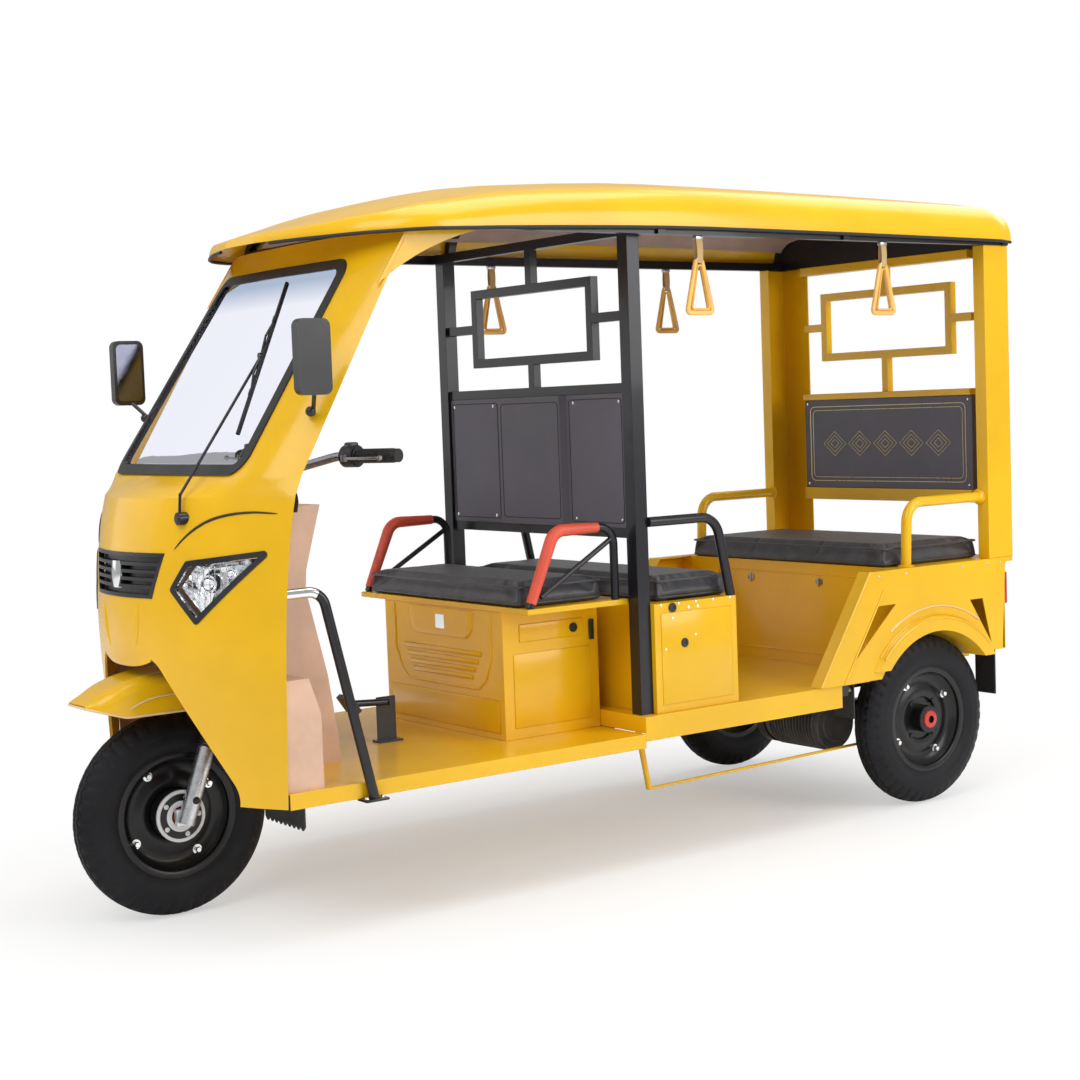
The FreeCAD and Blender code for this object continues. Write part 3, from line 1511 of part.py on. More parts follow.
def lining():
    """The leg shield: a low box across the footwell, a tunnel round the column and a wall to the shell."""
    wall = val("lining_wall")
    floor = val("front_floor")
    top = val("lining_top")

    def form(inset):
        more = val("lining_over") if inset else 0
        low = floor - more
        start = val("lining_front") - more
        half = val("lining_half") - inset
        back = val("lining_back") - inset
        high = val("lining_high") - inset
        chamfer = val("lining_chamfer")
        corner = [(back, high - 3 * chamfer), (back - chamfer, high)]
        low_box = side_view_prism([(start, low), (back, low)] + corner + [(start, high)], half)
        rear = [(val("tunnel_foot"), low)]
        for bend in ("toe", "shin", "waist", "neck"):
            rear.append((val(f"tunnel_{bend}"), val(f"tunnel_{bend}_height")))
        rear.append((val("tunnel_top"), top - inset))
        points = [(start, low)] + [(y - inset, z) for y, z in rear] + [(start, top - inset)]
        return low_box.fuse(side_view_prism(points, val("tunnel_half") - inset))

    body = form(0).cut(form(wall))
    room = val("tunnel_half")
    front = val("lining_front")
    half = val("shell_half")
    screen = Part.makeBox(2 * half, wall, top - val("lining_high"), vec(-half, front, val("lining_high")))
    screen = screen.common(nose_solid(val("shell_wall") + gap))
    screen = screen.cut(Part.makeBox(2 * room, 2 * room, top, vec(-room, front - room, floor)))
    radius = val("column_hole")
    hole = bar_between(on_axis(val("column_hole_low")), on_axis(top + 2 * radius), radius)
    lamp_room = lamp_prism(-wall)
    skin = nose_skin(0, val("shell_wall") + gap)
    return body.fuse(screen).cut([hole, lamp_room, flipped(lamp_room), skin])


name_piece(made(lining()), "leg_shield")


def dashboard():
    """A shelf across the nose over the lining, with a shallow tray."""
    half = val("shell_half")
    front = val("nose_front")
    low = val("lining_top") + gap
    slab = Part.makeBox(2 * half, val("dash_back") - front, val("dash_high") - low, vec(-half, front, low))
    tray = val("tray_half")
    length = val("dash_back - tray_front - tray_border")
    corner = vec(-tray, val("tray_front"), val("lining_top + tray_floor"))
    hollow = Part.makeBox(2 * tray, length, val("dash_high - lining_top"), corner)
    return slab.common(nose_solid(val("shell_wall") + gap)).cut(hollow)


name_piece(made(dashboard()), "dashboard")


def grab_rail():
    """The left grab rail from the nose's side down to a foot under the sill."""
    low = val("front_sill_low")
    high = val("grab_height")
    seat = val("lining_front + lining_wall + seat_gap")
    start = (val("grab_inner"), seat - val("grab_sink"), high - val("grab_fall"))
    corner = vec(val("grab_side"), val("grab_corner"), high)
    end = vec(val("grab_outer"), val("grab_foot"), low)
    end = end + (end - corner) * 0.05
    pipe = tube([start, tuple(corner), tuple(end)], val("grab_radius"), val("grab_bend"))
    length = val("foot_length")
    foot_y = val("grab_foot - foot_length / 2")
    foot_corner = vec(val("sill_half - foot_in"), foot_y, low - val("foot_thick"))
    foot = Part.makeBox(val("foot_width"), length, val("foot_thick"), foot_corner)
    wide = 2 * val("grab_outer")
    ahead = Part.makeBox(wide, wide, 2 * high, vec(0, seat - wide, 0))
    return above(pipe, low).cut([ahead, nose_skin(0, val("shell_wall") + gap)]).fuse(foot)


name_piece(pair(made(grab_rail())), "floor_rails")


def front_flap():
    """A toothed rubber flap under the floor's left front corner."""
    near, far = val("flap_near"), val("flap_far")
    top, bottom = val(FRONT_UNDER), val("flap_bottom")
    count = int(val("tooth_count"))
    step = (far - near) / count
    points = [(near, top), (near, bottom)]
    for i in range(count):
        points.append((near + (i + 0.5) * step, bottom - val("tooth")))
        points.append((near + (i + 1) * step, bottom))
    points.append((far, top))
    wire = Part.makePolygon([vec(x, val("flap_plane"), z) for x, z in points + points[:1]])
    return ring_prism(wire, vec(0, val("flap_thick"), 0))


name_piece(pair(made(front_flap())), "front_flaps")


def foot_pedal():
    """The brake pedal on its bracket."""
    x = val("pedal_x")
    pivot = vec(x, val("pedal_pivot"), val("pedal_pivot_height"))
    floor = val("front_floor")
    plate = val("pedal_plate")
    length = val("bracket_length")
    corner = vec(x - val("bracket_set") - plate, pivot.y - length / 2, floor)
    bracket = Part.makeBox(plate, length, pivot.z - floor + val("bracket_rise"), corner)
    length = val("bracket_foot_length")
    corner = vec(x - val("bracket_foot_set"), pivot.y - length / 2, floor)
    base = Part.makeBox(val("bracket_foot_width"), length, plate, corner)
    pin = bar_between(pivot - vec(val("pedal_pin_out"), 0, 0), pivot + vec(val("pedal_pin_in"), 0, 0),
                      val("pedal_pin_radius"))
    reach = vec(0, -val("pedal_reach"), val("pedal_rise"))
    arm = bar_between(pivot, pivot + reach, val("pedal_arm"))
    size = val("pedal_pad")
    deep = val("pedal_pad_deep")
    pad_plate = Part.makeBox(size, deep, size * 0.8, vec(-size / 2, -deep / 2, -size * 0.4))
    pad_plate.rotate(vec(0, 0, 0), vec(1, 0, 0), val("pedal_pad_lean"))
    pad_plate.translate(pivot + reach)
    return bracket.fuse([base, pin, arm, pad_plate])


name_piece(made(foot_pedal()), "pedals")


# The running gear: axle, gear case and motor, springs and the brake rod.
half_axle = "track_half - rear_hub_width / 2 - seat_gap"
axle_bar = rod(f"-({half_axle})", half_axle, "rear_axle", "tyre_radius", "axle_tube")
housing = rod("-diff_half", "diff_half", "rear_axle", "tyre_radius", "diff_radius")
stubs = rod("-(track_half + axle_end)", "track_half + axle_end", "rear_axle", "tyre_radius", "axle_radius")
MOTOR_Y = "rear_axle - motor_forward"
MOTOR_Z = "tyre_radius - motor_drop"
case = [
    rod("motor_start - 2 * case_half", "motor_start", MOTOR_Y, MOTOR_Z, "motor_radius + case_rim"),
    box("motor_start - 2 * case_half", "motor_start", MOTOR_Y, "rear_axle", f"{MOTOR_Z} - diff_radius / 2",
        f"{MOTOR_Z} + diff_radius / 2"),
]
name_piece(fuse([axle_bar, housing, stubs] + case), "rear_axle")
name_piece(rod("motor_start", "motor_start + motor_length", MOTOR_Y, MOTOR_Z, "motor_radius"), "motor")


def left_axle(clearance):
    """The left half of the axle's tube, as a cutter that is larger by a clearance."""
    middle = vec(0, val("rear_axle"), val("tyre_radius"))
    return bar_between(middle, middle + vec(val("track_half"), 0, 0), val("axle_tube") + clearance)


def leaf_spring():
    """The left leaf pack: a shallow bow from hanger to hanger, clamped on top of the axle."""
    x_in = val("rail_half - spring_width / 2")
    front = val("spring_front")
    rear = val("2 * rear_axle - spring_front")
    rail_low = val(f"{REAR_UNDER} - rail_height")
    eye = rail_low - val("spring_thick + eye_drop")
    base = val("tyre_radius + axle_tube")
    thick = val("spring_thick")
    middle = val("rear_axle")
    ends = [vec(x_in, front, eye), vec(x_in, middle, base), vec(x_in, rear, eye)]
    upper = [p + vec(0, 0, thick) for p in ends]
    edges = [Part.Arc(*ends), Part.LineSegment(ends[2], upper[2]), Part.Arc(*reversed(upper)),
             Part.LineSegment(upper[0], ends[0])]
    pack = ring_prism(Part.Wire([edge.toShape() for edge in edges]), vec(val("spring_width"), 0, 0))
    wide = val("hanger_width")
    hangers = []
    for y in (front, rear - wide):
        hangers.append(Part.makeBox(val("spring_width"), wide, rail_low - eye, vec(x_in, y, eye)))
    return pack.fuse(hangers).cut(left_axle(0))


name_piece(pair(made(leaf_spring())), "leaf_springs")


def brake_rod():
    """The lever under the floor and the long rod to the rear brake."""
    x = val("lever_x")
    top = vec(x, val("lever_top_y"), val(REAR_UNDER))
    foot = vec(x, val("lever_foot_y"), val("lever_foot"))
    lever = bar_between(top + vec(0, 0, val("lever_sink")), foot, val("lever_radius"))
    rear = vec(x, val("rear_axle - axle_tube - drum_lever_gap"), val("tyre_radius - drum_lever"))
    long_rod = bar_between(foot, rear, val("brake_rod"))
    thick = val("drum_lever_thick")
    low = val("drum_lever_foot")
    drum_corner = vec(x - thick / 2, rear.y - val("drum_lever_back"), rear.z - low)
    drum = Part.makeBox(thick, val("drum_lever_width"), val("drum_lever") + low, drum_corner)
    under_floor = Part.makeBox(2 * x, 2 * rear.y, top.z)
    return lever.fuse([long_rod, drum]).common(under_floor).cut(left_axle(gap))


name_piece(made(brake_rod()), "brake_linkage")


doc.recompute()
faults = []
for obj in doc.Objects:
    if "Invalid" in obj.State or "Error" in obj.State:
        faults.append(f"{obj.Label}: {obj.State}")
for piece in pieces:
    if piece.Shape.isNull() or not piece.Shape.isValid():
        faults.append(f"{piece.Label}: its shape isn't valid")
if faults:
    raise RuntimeError("; ".join(faults))
os.makedirs("parts", exist_ok=True)
for piece in pieces:
    piece.Shape.exportStep(f"parts/{piece.Label}.step")
print(len(pieces), "pieces")
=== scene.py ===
import json
import math

import bmesh
import bpy
from bpy.props import FloatProperty, FloatVectorProperty, IntProperty, PointerProperty
from mathutils import Matrix, Vector
from mathutils.bvhtree import BVHTree


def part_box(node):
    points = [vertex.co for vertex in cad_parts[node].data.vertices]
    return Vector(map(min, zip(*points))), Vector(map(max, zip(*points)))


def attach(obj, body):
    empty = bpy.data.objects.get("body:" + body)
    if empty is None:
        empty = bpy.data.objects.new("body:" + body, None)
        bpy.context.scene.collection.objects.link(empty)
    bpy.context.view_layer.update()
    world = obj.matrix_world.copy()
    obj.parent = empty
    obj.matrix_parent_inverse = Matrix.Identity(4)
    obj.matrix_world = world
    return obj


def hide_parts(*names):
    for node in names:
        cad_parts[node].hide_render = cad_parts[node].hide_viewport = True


bl_info = {
    "name": "Auto rickshaw",
    "version": (1, 0, 0),
    "blender": (4, 5, 0),
    "location": "View3D > Sidebar > Rickshaw",
    "description": "Dresses the packed rickshaw with its finishes, cushions, tyres and trim",
    "category": "Object",
}

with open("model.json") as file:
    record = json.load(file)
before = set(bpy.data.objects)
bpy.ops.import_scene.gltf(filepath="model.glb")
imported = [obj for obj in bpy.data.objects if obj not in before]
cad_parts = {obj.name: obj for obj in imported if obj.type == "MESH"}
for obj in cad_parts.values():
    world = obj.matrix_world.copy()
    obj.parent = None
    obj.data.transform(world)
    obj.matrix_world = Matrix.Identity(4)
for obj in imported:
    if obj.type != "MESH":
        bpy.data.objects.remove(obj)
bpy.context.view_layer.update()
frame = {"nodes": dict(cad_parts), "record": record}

# Lengths below are written in millimetres, counted back from the front as in the source.
MIDDLE = 1191.5
SIDES = (1, -1)


def at(x, y, z):
    """A point in metres from millimetres: x to the vehicle's left, y back along it and z above the road."""
    return Vector((x / 1000, (y - MIDDLE) / 1000, z / 1000))


def mm(value):
    """Millimetres as metres."""
    return value / 1000


# The user's own sizes and colours.


class PaintSettings(bpy.types.PropertyGroup):
    yellow: FloatVectorProperty(
        name="Body yellow", description="The enamel of the body",
        subtype="COLOR", size=3, min=0, max=1, default=(0.88, 0.50, 0.006))
    gloss: FloatProperty(
        name="Roughness", description="How dull the enamel is",
        default=0.24, min=0.02, max=1, subtype="FACTOR")
    lining: FloatVectorProperty(
        name="Lining", description="The moulded lining behind the nose",
        subtype="COLOR", size=3, min=0, max=1, default=(0.56, 0.36, 0.25))
    wear: FloatProperty(
        name="Wear", description="How much of the edges is rubbed",
        default=0.35, min=0, max=1, subtype="FACTOR")


class TyreSettings(bpy.types.PropertyGroup):
    tread_depth: FloatProperty(
        name="Tread depth", description="Depth of the grooves",
        default=0.0045, min=0.0, max=0.01, subtype="DISTANCE", unit="LENGTH")
    blocks: IntProperty(name="Blocks", description="Tread blocks round the tyre", default=44, min=12, max=90)
    studs: IntProperty(name="Wheel studs", description="Studs on each wheel", default=4, min=3, max=8)


class CushionSettings(bpy.types.PropertyGroup):
    pressure: FloatProperty(
        name="Pressure", description="Air pressure in the cloth", default=3.0, min=0, max=20)
    travel: FloatProperty(
        name="Travel", description="How far the cloth may swell",
        default=0.022, min=0.0, max=0.04, subtype="DISTANCE", unit="LENGTH")
    voxel: FloatProperty(
        name="Voxel", description="Size of the remeshed faces",
        default=0.006, min=0.004, max=0.02, subtype="DISTANCE", unit="LENGTH")


class LightSettings(bpy.types.PropertyGroup):
    key: FloatProperty(
        name="Key", description="Power of the main soft light",
        default=170.0, min=0, subtype="POWER", unit="POWER")
    world: FloatProperty(
        name="World", description="Strength of the surroundings", default=0.42, min=0, max=3)


# Node groups that several materials share.


def node_group(name, inputs, outputs):
    """An empty shader group with its sockets, the nodes' helper, and its ends."""
    group = bpy.data.node_groups.new(name, "ShaderNodeTree")
    for label, default in inputs.items():
        socket = group.interface.new_socket(label, in_out="INPUT", socket_type="NodeSocketFloat")
        socket.default_value = default
    for label in outputs:
        group.interface.new_socket(label, in_out="OUTPUT", socket_type="NodeSocketFloat")
    nodes = Nodes(group)
    return group, nodes, nodes.add("NodeGroupInput").outputs, nodes.add("NodeGroupOutput")


class Nodes:
    """Adds nodes to a tree and joins them."""

    def __init__(self, tree):
        self.tree = tree

    def add(self, kind, **values):
        """A new node with its settings, and its inputs named with underscores for spaces."""
        node = self.tree.nodes.new(kind)
        for name, value in values.items():
            if hasattr(node, name):
                setattr(node, name, value)
            else:
                self.put(node.inputs[name.replace("_", " ")], value)
        return node

    def put(self, socket, value):
        """Links a socket to another one, or gives it a plain value."""
        if isinstance(value, bpy.types.NodeSocket):
            self.tree.links.new(value, socket)
        else:
            socket.default_value = value

    def feed(self, node, **values):
        """Puts values or links on a node's inputs, named with underscores for spaces."""
        for name, value in values.items():
            self.put(node.inputs[name.replace("_", " ")], value)

    def math(self, operation, a, b=0.0, clamp=False):
        """The result of one operation on two values."""
        node = self.add("ShaderNodeMath", operation=operation, use_clamp=clamp)
        self.put(node.inputs[0], a)
        self.put(node.inputs[1], b)
        return node.outputs[0]

    def mix(self, share, a, b):
        """Two colours mixed by a share."""
        node = self.add("ShaderNodeMix", data_type="RGBA")
        for number, value in ((0, share), (6, a), (7, b)):
            self.put(node.inputs[number], value)
        return node.outputs[2]

    def span(self, value, low, high, to_low=0.0, to_high=1.0):
        """A value's way from low to high, held between two results."""
        node = self.add("ShaderNodeMapRange")
        for socket, number in zip(node.inputs, (value, low, high, to_low, to_high)):
            self.put(socket, number)
        return node.outputs[0]

    def here(self):
        """The point's coordinates on its own piece."""
        return self.add("ShaderNodeTexCoord").outputs["Object"]

    def split(self, vector):
        """A vector's three parts, by the names X, Y and Z."""
        return self.add("ShaderNodeSeparateXYZ", Vector=vector).outputs

    def noise(self, scale, detail):
        """Soft noise over the piece."""
        node = self.add("ShaderNodeTexNoise", Scale=scale, Detail=detail, Roughness=0.55, Vector=self.here())
        return node.outputs["Fac"]


def edge_wear_group():
    """A mask that is 1 along worn edges, from how far a rounded normal leaves the true one."""
    inputs = {"Amount": 0.4, "Radius": 0.004, "Patch": 14.0}
    group, nodes, given, out = node_group("Edge wear", inputs, ["Mask"])
    rounded = nodes.add("ShaderNodeBevel", samples=3, Radius=given["Radius"])
    dot = nodes.add("ShaderNodeVectorMath", operation="DOT_PRODUCT")
    nodes.put(dot.inputs[0], rounded.outputs[0])
    nodes.put(dot.inputs[1], nodes.add("ShaderNodeNewGeometry").outputs["Normal"])
    edge = nodes.span(dot.outputs["Value"], 0.97, 0.86)
    patch = nodes.span(nodes.noise(given["Patch"], 5.0), 0.5, 0.66)
    mask = nodes.math("MULTIPLY", nodes.math("MULTIPLY", edge, patch), given["Amount"], clamp=True)
    nodes.feed(out, Mask=mask)
    return group


def grain_group():
    """Fine colour change and a height field for moulded plastic, enamel and rubber."""
    group, nodes, given, out = node_group("Fine grain", {"Scale": 400.0, "Cloud": 5.0}, ["Height", "Shade"])
    nodes.feed(out, Height=nodes.noise(given["Scale"], 2.0), Shade=nodes.noise(given["Cloud"], 4.0))
    return group


def dust_group():
    """A mask for dust that lies on faces turned up and climbs from the road."""
    group, nodes, given, out = node_group("Dust", {"Amount": 0.3, "Reach": 0.5}, ["Mask"])
    geometry = nodes.add("ShaderNodeNewGeometry").outputs
    up = nodes.span(nodes.split(geometry["Normal"])["Z"], 0.2, 1.0, 0.0, 0.7)
    low = nodes.span(nodes.split(geometry["Position"])["Z"], given["Reach"], 0.05)
    cloud = nodes.span(nodes.noise(7.0, 6.0), 0.38, 0.7)
    mask = nodes.math("MULTIPLY", nodes.math("MAXIMUM", up, low), cloud)
    nodes.feed(out, Mask=nodes.math("MULTIPLY", mask, given["Amount"], clamp=True))
    return group


def leather_group():
    """Pebbled leathercloth: a height field of rounded cells broken by finer noise."""
    group, nodes, given, out = node_group("Leather grain", {"Scale": 320.0}, ["Height", "Crease"])
    cells = nodes.add("ShaderNodeTexVoronoi", feature="SMOOTH_F1", Scale=given["Scale"], Smoothness=0.6,
                      Vector=nodes.here())
    crease = nodes.span(nodes.noise(26.0, 5.0), 0.35, 0.7)
    nodes.feed(out, Height=nodes.math("SUBTRACT", 1.0, cells.outputs["Distance"]), Crease=crease)
    return group


def weave_group():
    """Plain weave: two sets of crossing threads."""
    group, nodes, given, out = node_group("Weave", {"Threads": 900.0}, ["Height", "Cross"])
    place = nodes.split(nodes.here())
    across, along = (
        nodes.math("SINE", nodes.math("MULTIPLY", place[axis], given["Threads"])) for axis in "YZ")
    cross = nodes.math("MULTIPLY", across, along)
    nodes.feed(out, Height=nodes.math("ABSOLUTE", cross), Cross=nodes.span(cross, -1.0, 1.0))
    return group


GROUPS = {
    "wear": edge_wear_group,
    "grain": grain_group,
    "dust": dust_group,
    "leather": leather_group,
    "weave": weave_group,
}
made_groups = {}


def placed(nodes, kind, **values):
    """The outputs of one of the shared groups, placed in a material with its own values."""
    if kind not in made_groups:
        made_groups[kind] = GROUPS[kind]()
    node = nodes.add("ShaderNodeGroup", node_tree=made_groups[kind])
    nodes.feed(node, **values)
    return node.outputs


# Materials.

made_materials = {}


def material(name, build):
    """The material of this name, made the first time that it is asked for."""
    if name not in made_materials:
        item = bpy.data.materials.new(name)
        item.use_nodes = True
        nodes = Nodes(item.node_tree)
        build(nodes, item.node_tree.nodes["Principled BSDF"])
        made_materials[name] = item
    return made_materials[name]


def bump(nodes, height, strength, distance):
    """A normal raised by a height field."""
    node = nodes.add("ShaderNodeBump", Strength=strength, Distance=distance, Height=height)
    return node.outputs["Normal"]


def rgba(colour):
    """A colour with full opacity."""
    return (*colour[:3], 1.0)


# The dust that lies on paint, on plastic, on the seats and on the tyres.
PAINT_DUST = (0.42, 0.34, 0.24, 1.0)
PLASTIC_DUST = (0.30, 0.26, 0.21, 1.0)
SEAT_DUST = (0.16, 0.15, 0.15, 1.0)
TYRE_DUST = (0.10, 0.09, 0.08, 1.0)


def enamel(colour, roughness, wear, dust, base=(0.10, 0.07, 0.05), coat=0.18):
    """Glossy paint with orange peel, rubbed edges and a little road dust."""

    def build(nodes, shader):
        grain = placed(nodes, "grain", Scale=190.0, Cloud=2.6)
        rubbed = placed(nodes, "wear", Amount=wear, Radius=0.003, Patch=17.0)["Mask"]
        dirt = placed(nodes, "dust", Amount=dust, Reach=0.55)["Mask"]
        deep = tuple(c * 0.86 for c in colour)
        shade = nodes.mix(nodes.span(grain["Shade"], 0.35, 0.65), rgba(deep), rgba(colour))
        chipped = nodes.mix(rubbed, shade, rgba(base))
        nodes.feed(
            shader,
            Base_Color=nodes.mix(dirt, chipped, PAINT_DUST),
            Roughness=nodes.span(nodes.math("MAXIMUM", rubbed, dirt), 0.0, 1.0, roughness, 0.75),
            Coat_Weight=coat,
            Coat_Roughness=0.06,
            Specular_IOR_Level=0.36,
            Normal=bump(nodes, grain["Height"], 0.05, 0.0012),
        )

    return build


def moulded(colour, roughness, grain_scale=620.0, strength=0.25, dust=0.25, specular=0.5):
    """Grained plastic or rubber."""

    def build(nodes, shader):
        grain = placed(nodes, "grain", Scale=grain_scale, Cloud=6.0)
        dirt = placed(nodes, "dust", Amount=dust, Reach=0.45)["Mask"]
        pale = tuple(min(1.0, c * 1.35 + 0.004) for c in colour)
        shade = nodes.mix(nodes.span(grain["Shade"], 0.35, 0.7), rgba(colour), rgba(pale))
        smooth = max(0.05, roughness - 0.1)
        nodes.feed(
            shader,
            Base_Color=nodes.mix(dirt, shade, PLASTIC_DUST),
            Roughness=nodes.span(grain["Shade"], 0.3, 0.7, smooth, roughness + 0.1),
            Specular_IOR_Level=specular,
            Normal=bump(nodes, grain["Height"], strength, 0.0008),
        )

    return build


def bare_metal(colour, roughness):
    """Turned or plated metal with fine marks and a trace of staining."""

    def build(nodes, shader):
        grain = placed(nodes, "grain", Scale=900.0, Cloud=60.0)
        dirt = placed(nodes, "dust", Amount=0.35, Reach=0.5)["Mask"]
        smooth = max(0.04, roughness - 0.07)
        nodes.feed(
            shader,
            Base_Color=nodes.mix(dirt, rgba(colour), (0.22, 0.17, 0.12, 1.0)),
            Metallic=1.0,
            Roughness=nodes.span(grain["Shade"], 0.3, 0.7, smooth, roughness + 0.1),
            Normal=bump(nodes, grain["Height"], 0.08, 0.0005),
        )

    return build


def leathercloth(colour):
    """Soft covering with a pebbled grain, paler along its creases."""

    def build(nodes, shader):
        grain = placed(nodes, "leather", Scale=330.0)
        dirt = placed(nodes, "dust", Amount=0.10, Reach=0.3)["Mask"]
        pale = tuple(c * 1.9 + 0.006 for c in colour)
        shade = nodes.mix(grain["Crease"], rgba(colour), rgba(pale))
        nodes.feed(
            shader,
            Base_Color=nodes.mix(dirt, shade, SEAT_DUST),
            Roughness=nodes.span(grain["Height"], 0.0, 1.0, 0.56, 0.32),
            Sheen_Weight=0.08,
            Normal=bump(nodes, grain["Height"], 0.4, 0.0009),
        )

    return build


def glass(colour, roughness, index):
    """Clear glass or lens plastic."""

    def build(nodes, shader):
        nodes.feed(shader, Base_Color=rgba(colour), Roughness=roughness, Transmission_Weight=1.0, IOR=index)

    return build


def banded_glass(colour, roughness, index, low, high, tint):
    """Clear glass with a tinted band at its top, which sets in between two heights in metres."""

    def build(nodes, shader):
        glass(colour, roughness, index)(nodes, shader)
        band = nodes.span(nodes.split(nodes.here())["Z"], low, high)
        nodes.feed(shader, Base_Color=nodes.mix(band, rgba(colour), rgba(tint)))

    return build


def webbing(colour):
    """Woven tape, darker between its threads."""

    def build(nodes, shader):
        weave = placed(nodes, "weave", Threads=2600.0)
        deep = tuple(c * 0.62 for c in colour)
        nodes.feed(
            shader,
            Base_Color=nodes.mix(weave["Cross"], rgba(deep), rgba(colour)),
            Roughness=0.72,
            Sheen_Weight=0.3,
            Normal=bump(nodes, weave["Height"], 0.5, 0.0007),
        )

    return build


def tread_rubber(nodes, shader):
    """Tyre rubber: dull, with dust worked into it and a faint bloom on the walls."""
    grain = placed(nodes, "grain", Scale=520.0, Cloud=9.0)
    dirt = placed(nodes, "dust", Amount=0.05, Reach=0.4)["Mask"]
    patches = nodes.span(grain["Shade"], 0.35, 0.7)
    shade = nodes.mix(patches, (0.005, 0.005, 0.007, 1.0), (0.013, 0.013, 0.016, 1.0))
    nodes.feed(
        shader,
        Base_Color=nodes.mix(dirt, shade, TYRE_DUST),
        Roughness=nodes.span(grain["Shade"], 0.3, 0.7, 0.46, 0.64),
        Specular_IOR_Level=0.22,
        Normal=bump(nodes, grain["Height"], 0.3, 0.0012),
    )


def finish(name):
    """The material that goes with one of the record's slots, or one that only the scene needs."""
    paint = bpy.context.scene.rickshaw_paint
    yellow = tuple(paint.yellow)
    gloss = paint.gloss
    wear = paint.wear
    kinds = {
        "body_paint": enamel(yellow, gloss, wear * 0.4, 0.035),
        "black_paint": enamel((0.010, 0.010, 0.014), 0.28, wear * 0.7, 0.06, (0.12, 0.11, 0.10)),
        "rim_paint": enamel((0.005, 0.005, 0.006), 0.30, wear * 0.5, 0.03, (0.05, 0.05, 0.05), 0.05),
        "rubber": moulded((0.010, 0.010, 0.011), 0.55, 480.0, 0.3, 0.08),
        "tyre_rubber": tread_rubber,
        "screen_glass": banded_glass((0.86, 0.87, 0.95), 0.02, 1.02, 1.47, 1.53, (0.42, 0.50, 0.64)),
        "motor_casing": moulded((0.06, 0.06, 0.065), 0.5, 300.0, 0.5, 0.5),
        # The board's tone is lifted above its own near-black towards the grey of its sheen: partly its colour,
        # partly a painted sheen.
        "backrest_board": moulded((0.074, 0.068, 0.092), 0.38, 240.0, 0.2, 0.10),
        "inner_plastic": moulded(tuple(paint.lining), 0.45, 420.0, 0.18, 0.12),
        "black_plastic": moulded((0.012, 0.012, 0.014), 0.36, 560.0, 0.2, 0.05),
        "fork_alloy": bare_metal((0.68, 0.69, 0.72), 0.28),
        "seat_leather": leathercloth((0.030, 0.030, 0.036)),
        "lamp_glass": glass((0.97, 0.98, 0.99), 0.03, 1.3),
        "lamp_red": moulded((0.42, 0.012, 0.01), 0.14, 90.0, 0.05, 0.08, 0.7),
        "strap_webbing": webbing((0.72, 0.47, 0.18)),
        "hinge_steel": bare_metal((0.55, 0.54, 0.52), 0.34),
        "chrome": bare_metal((0.86, 0.87, 0.88), 0.10),
        "red_pad": moulded((0.62, 0.075, 0.035), 0.5, 300.0, 0.25, 0.12),
        "red_paint": enamel((0.55, 0.03, 0.02), 0.3, wear, 0.12),
        "amber_lens": moulded((0.85, 0.28, 0.02), 0.12, 90.0, 0.05, 0.05, 0.7),
        "reflector": bare_metal((0.90, 0.91, 0.92), 0.07),
        "mirror_silver": bare_metal((0.10, 0.10, 0.12), 0.06),
        "hub_alloy": moulded((0.62, 0.62, 0.63), 0.32, 400.0, 0.1, 0.05, 0.8),
        "head_lining": moulded((0.36, 0.27, 0.24), 0.8, 700.0, 0.35, 0.0),
        "dark_steel": bare_metal((0.30, 0.30, 0.31), 0.30),
        "strap_handle": moulded((0.74, 0.42, 0.10), 0.34, 500.0, 0.1, 0.0),
        # A paler copy of the body yellow for strips and rims: a painted highlight.
        "highlight_paint": enamel((0.86, 0.62, 0.30), gloss, 0.0, 0.08),
        # A near-black for lines laid in grooves and seams: painted shade.
        "groove": moulded((0.02, 0.017, 0.012), 0.7, 500.0, 0.1, 0.1),
        "gold_line": bare_metal((0.78, 0.62, 0.28), 0.3),
    }
    return material(name, kinds[name])


# Shapes.


def mesh_piece(name, bm):
    """An object in the scene, from a mesh under construction."""
    mesh = bpy.data.meshes.new(name)
    bm.to_mesh(mesh)
    bm.free()
    piece = bpy.data.objects.new(name, mesh)
    bpy.context.scene.collection.objects.link(piece)
    return piece


def new_piece(name, bm, body, slot, finish_name=None, angle=32, node=None):
    """A mesh under construction made a piece that rides on a body, and stands for a node where one is given."""
    bmesh.ops.recalc_face_normals(bm, faces=bm.faces)
    piece = mesh_piece(name, bm)
    for face in piece.data.polygons:
        face.use_smooth = True
    piece.data.set_sharp_from_angle(angle=math.radians(angle))
    piece.data.materials.append(finish(finish_name or slot))
    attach(piece, body)
    if node:
        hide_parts(node)


def add_block(bm, low, high, edge=0.0, steps=2):
    """A block between two corners, its edges rounded where a radius is given."""
    low, high = Vector(low), Vector(high)
    verts = bmesh.ops.create_cube(bm, size=1.0, matrix=Matrix.Diagonal((*(high - low), 1)))["verts"]
    if edge:
        edges = list(dict.fromkeys(e for v in verts for e in v.link_edges))
        rounded = bmesh.ops.bevel(bm, geom=edges, offset=edge, segments=steps, affect="EDGES", profile=0.5)
        verts = list({v for f in rounded["faces"] for v in f.verts})
    bmesh.ops.transform(bm, matrix=Matrix.Translation((low + high) / 2), verts=verts)


def add_rings(bm, rings, ends=True, joined=False):
    """Joins closed rings of points into a skin, with a face at each end or with its two ends joined."""
    rows = [[bm.verts.new(p) for p in ring] for ring in rings]
    count = len(rows[0])
    following = rows[1:] + rows[:1] if joined else rows[1:]
    for a, b in zip(rows, following):
        for i in range(count):
            j = (i + 1) % count
            bm.faces.new((a[i], a[j], b[j], b[i]))
    if ends and not joined:
        bm.faces.new(list(reversed(rows[0])))
        bm.faces.new(rows[-1])
    return rows


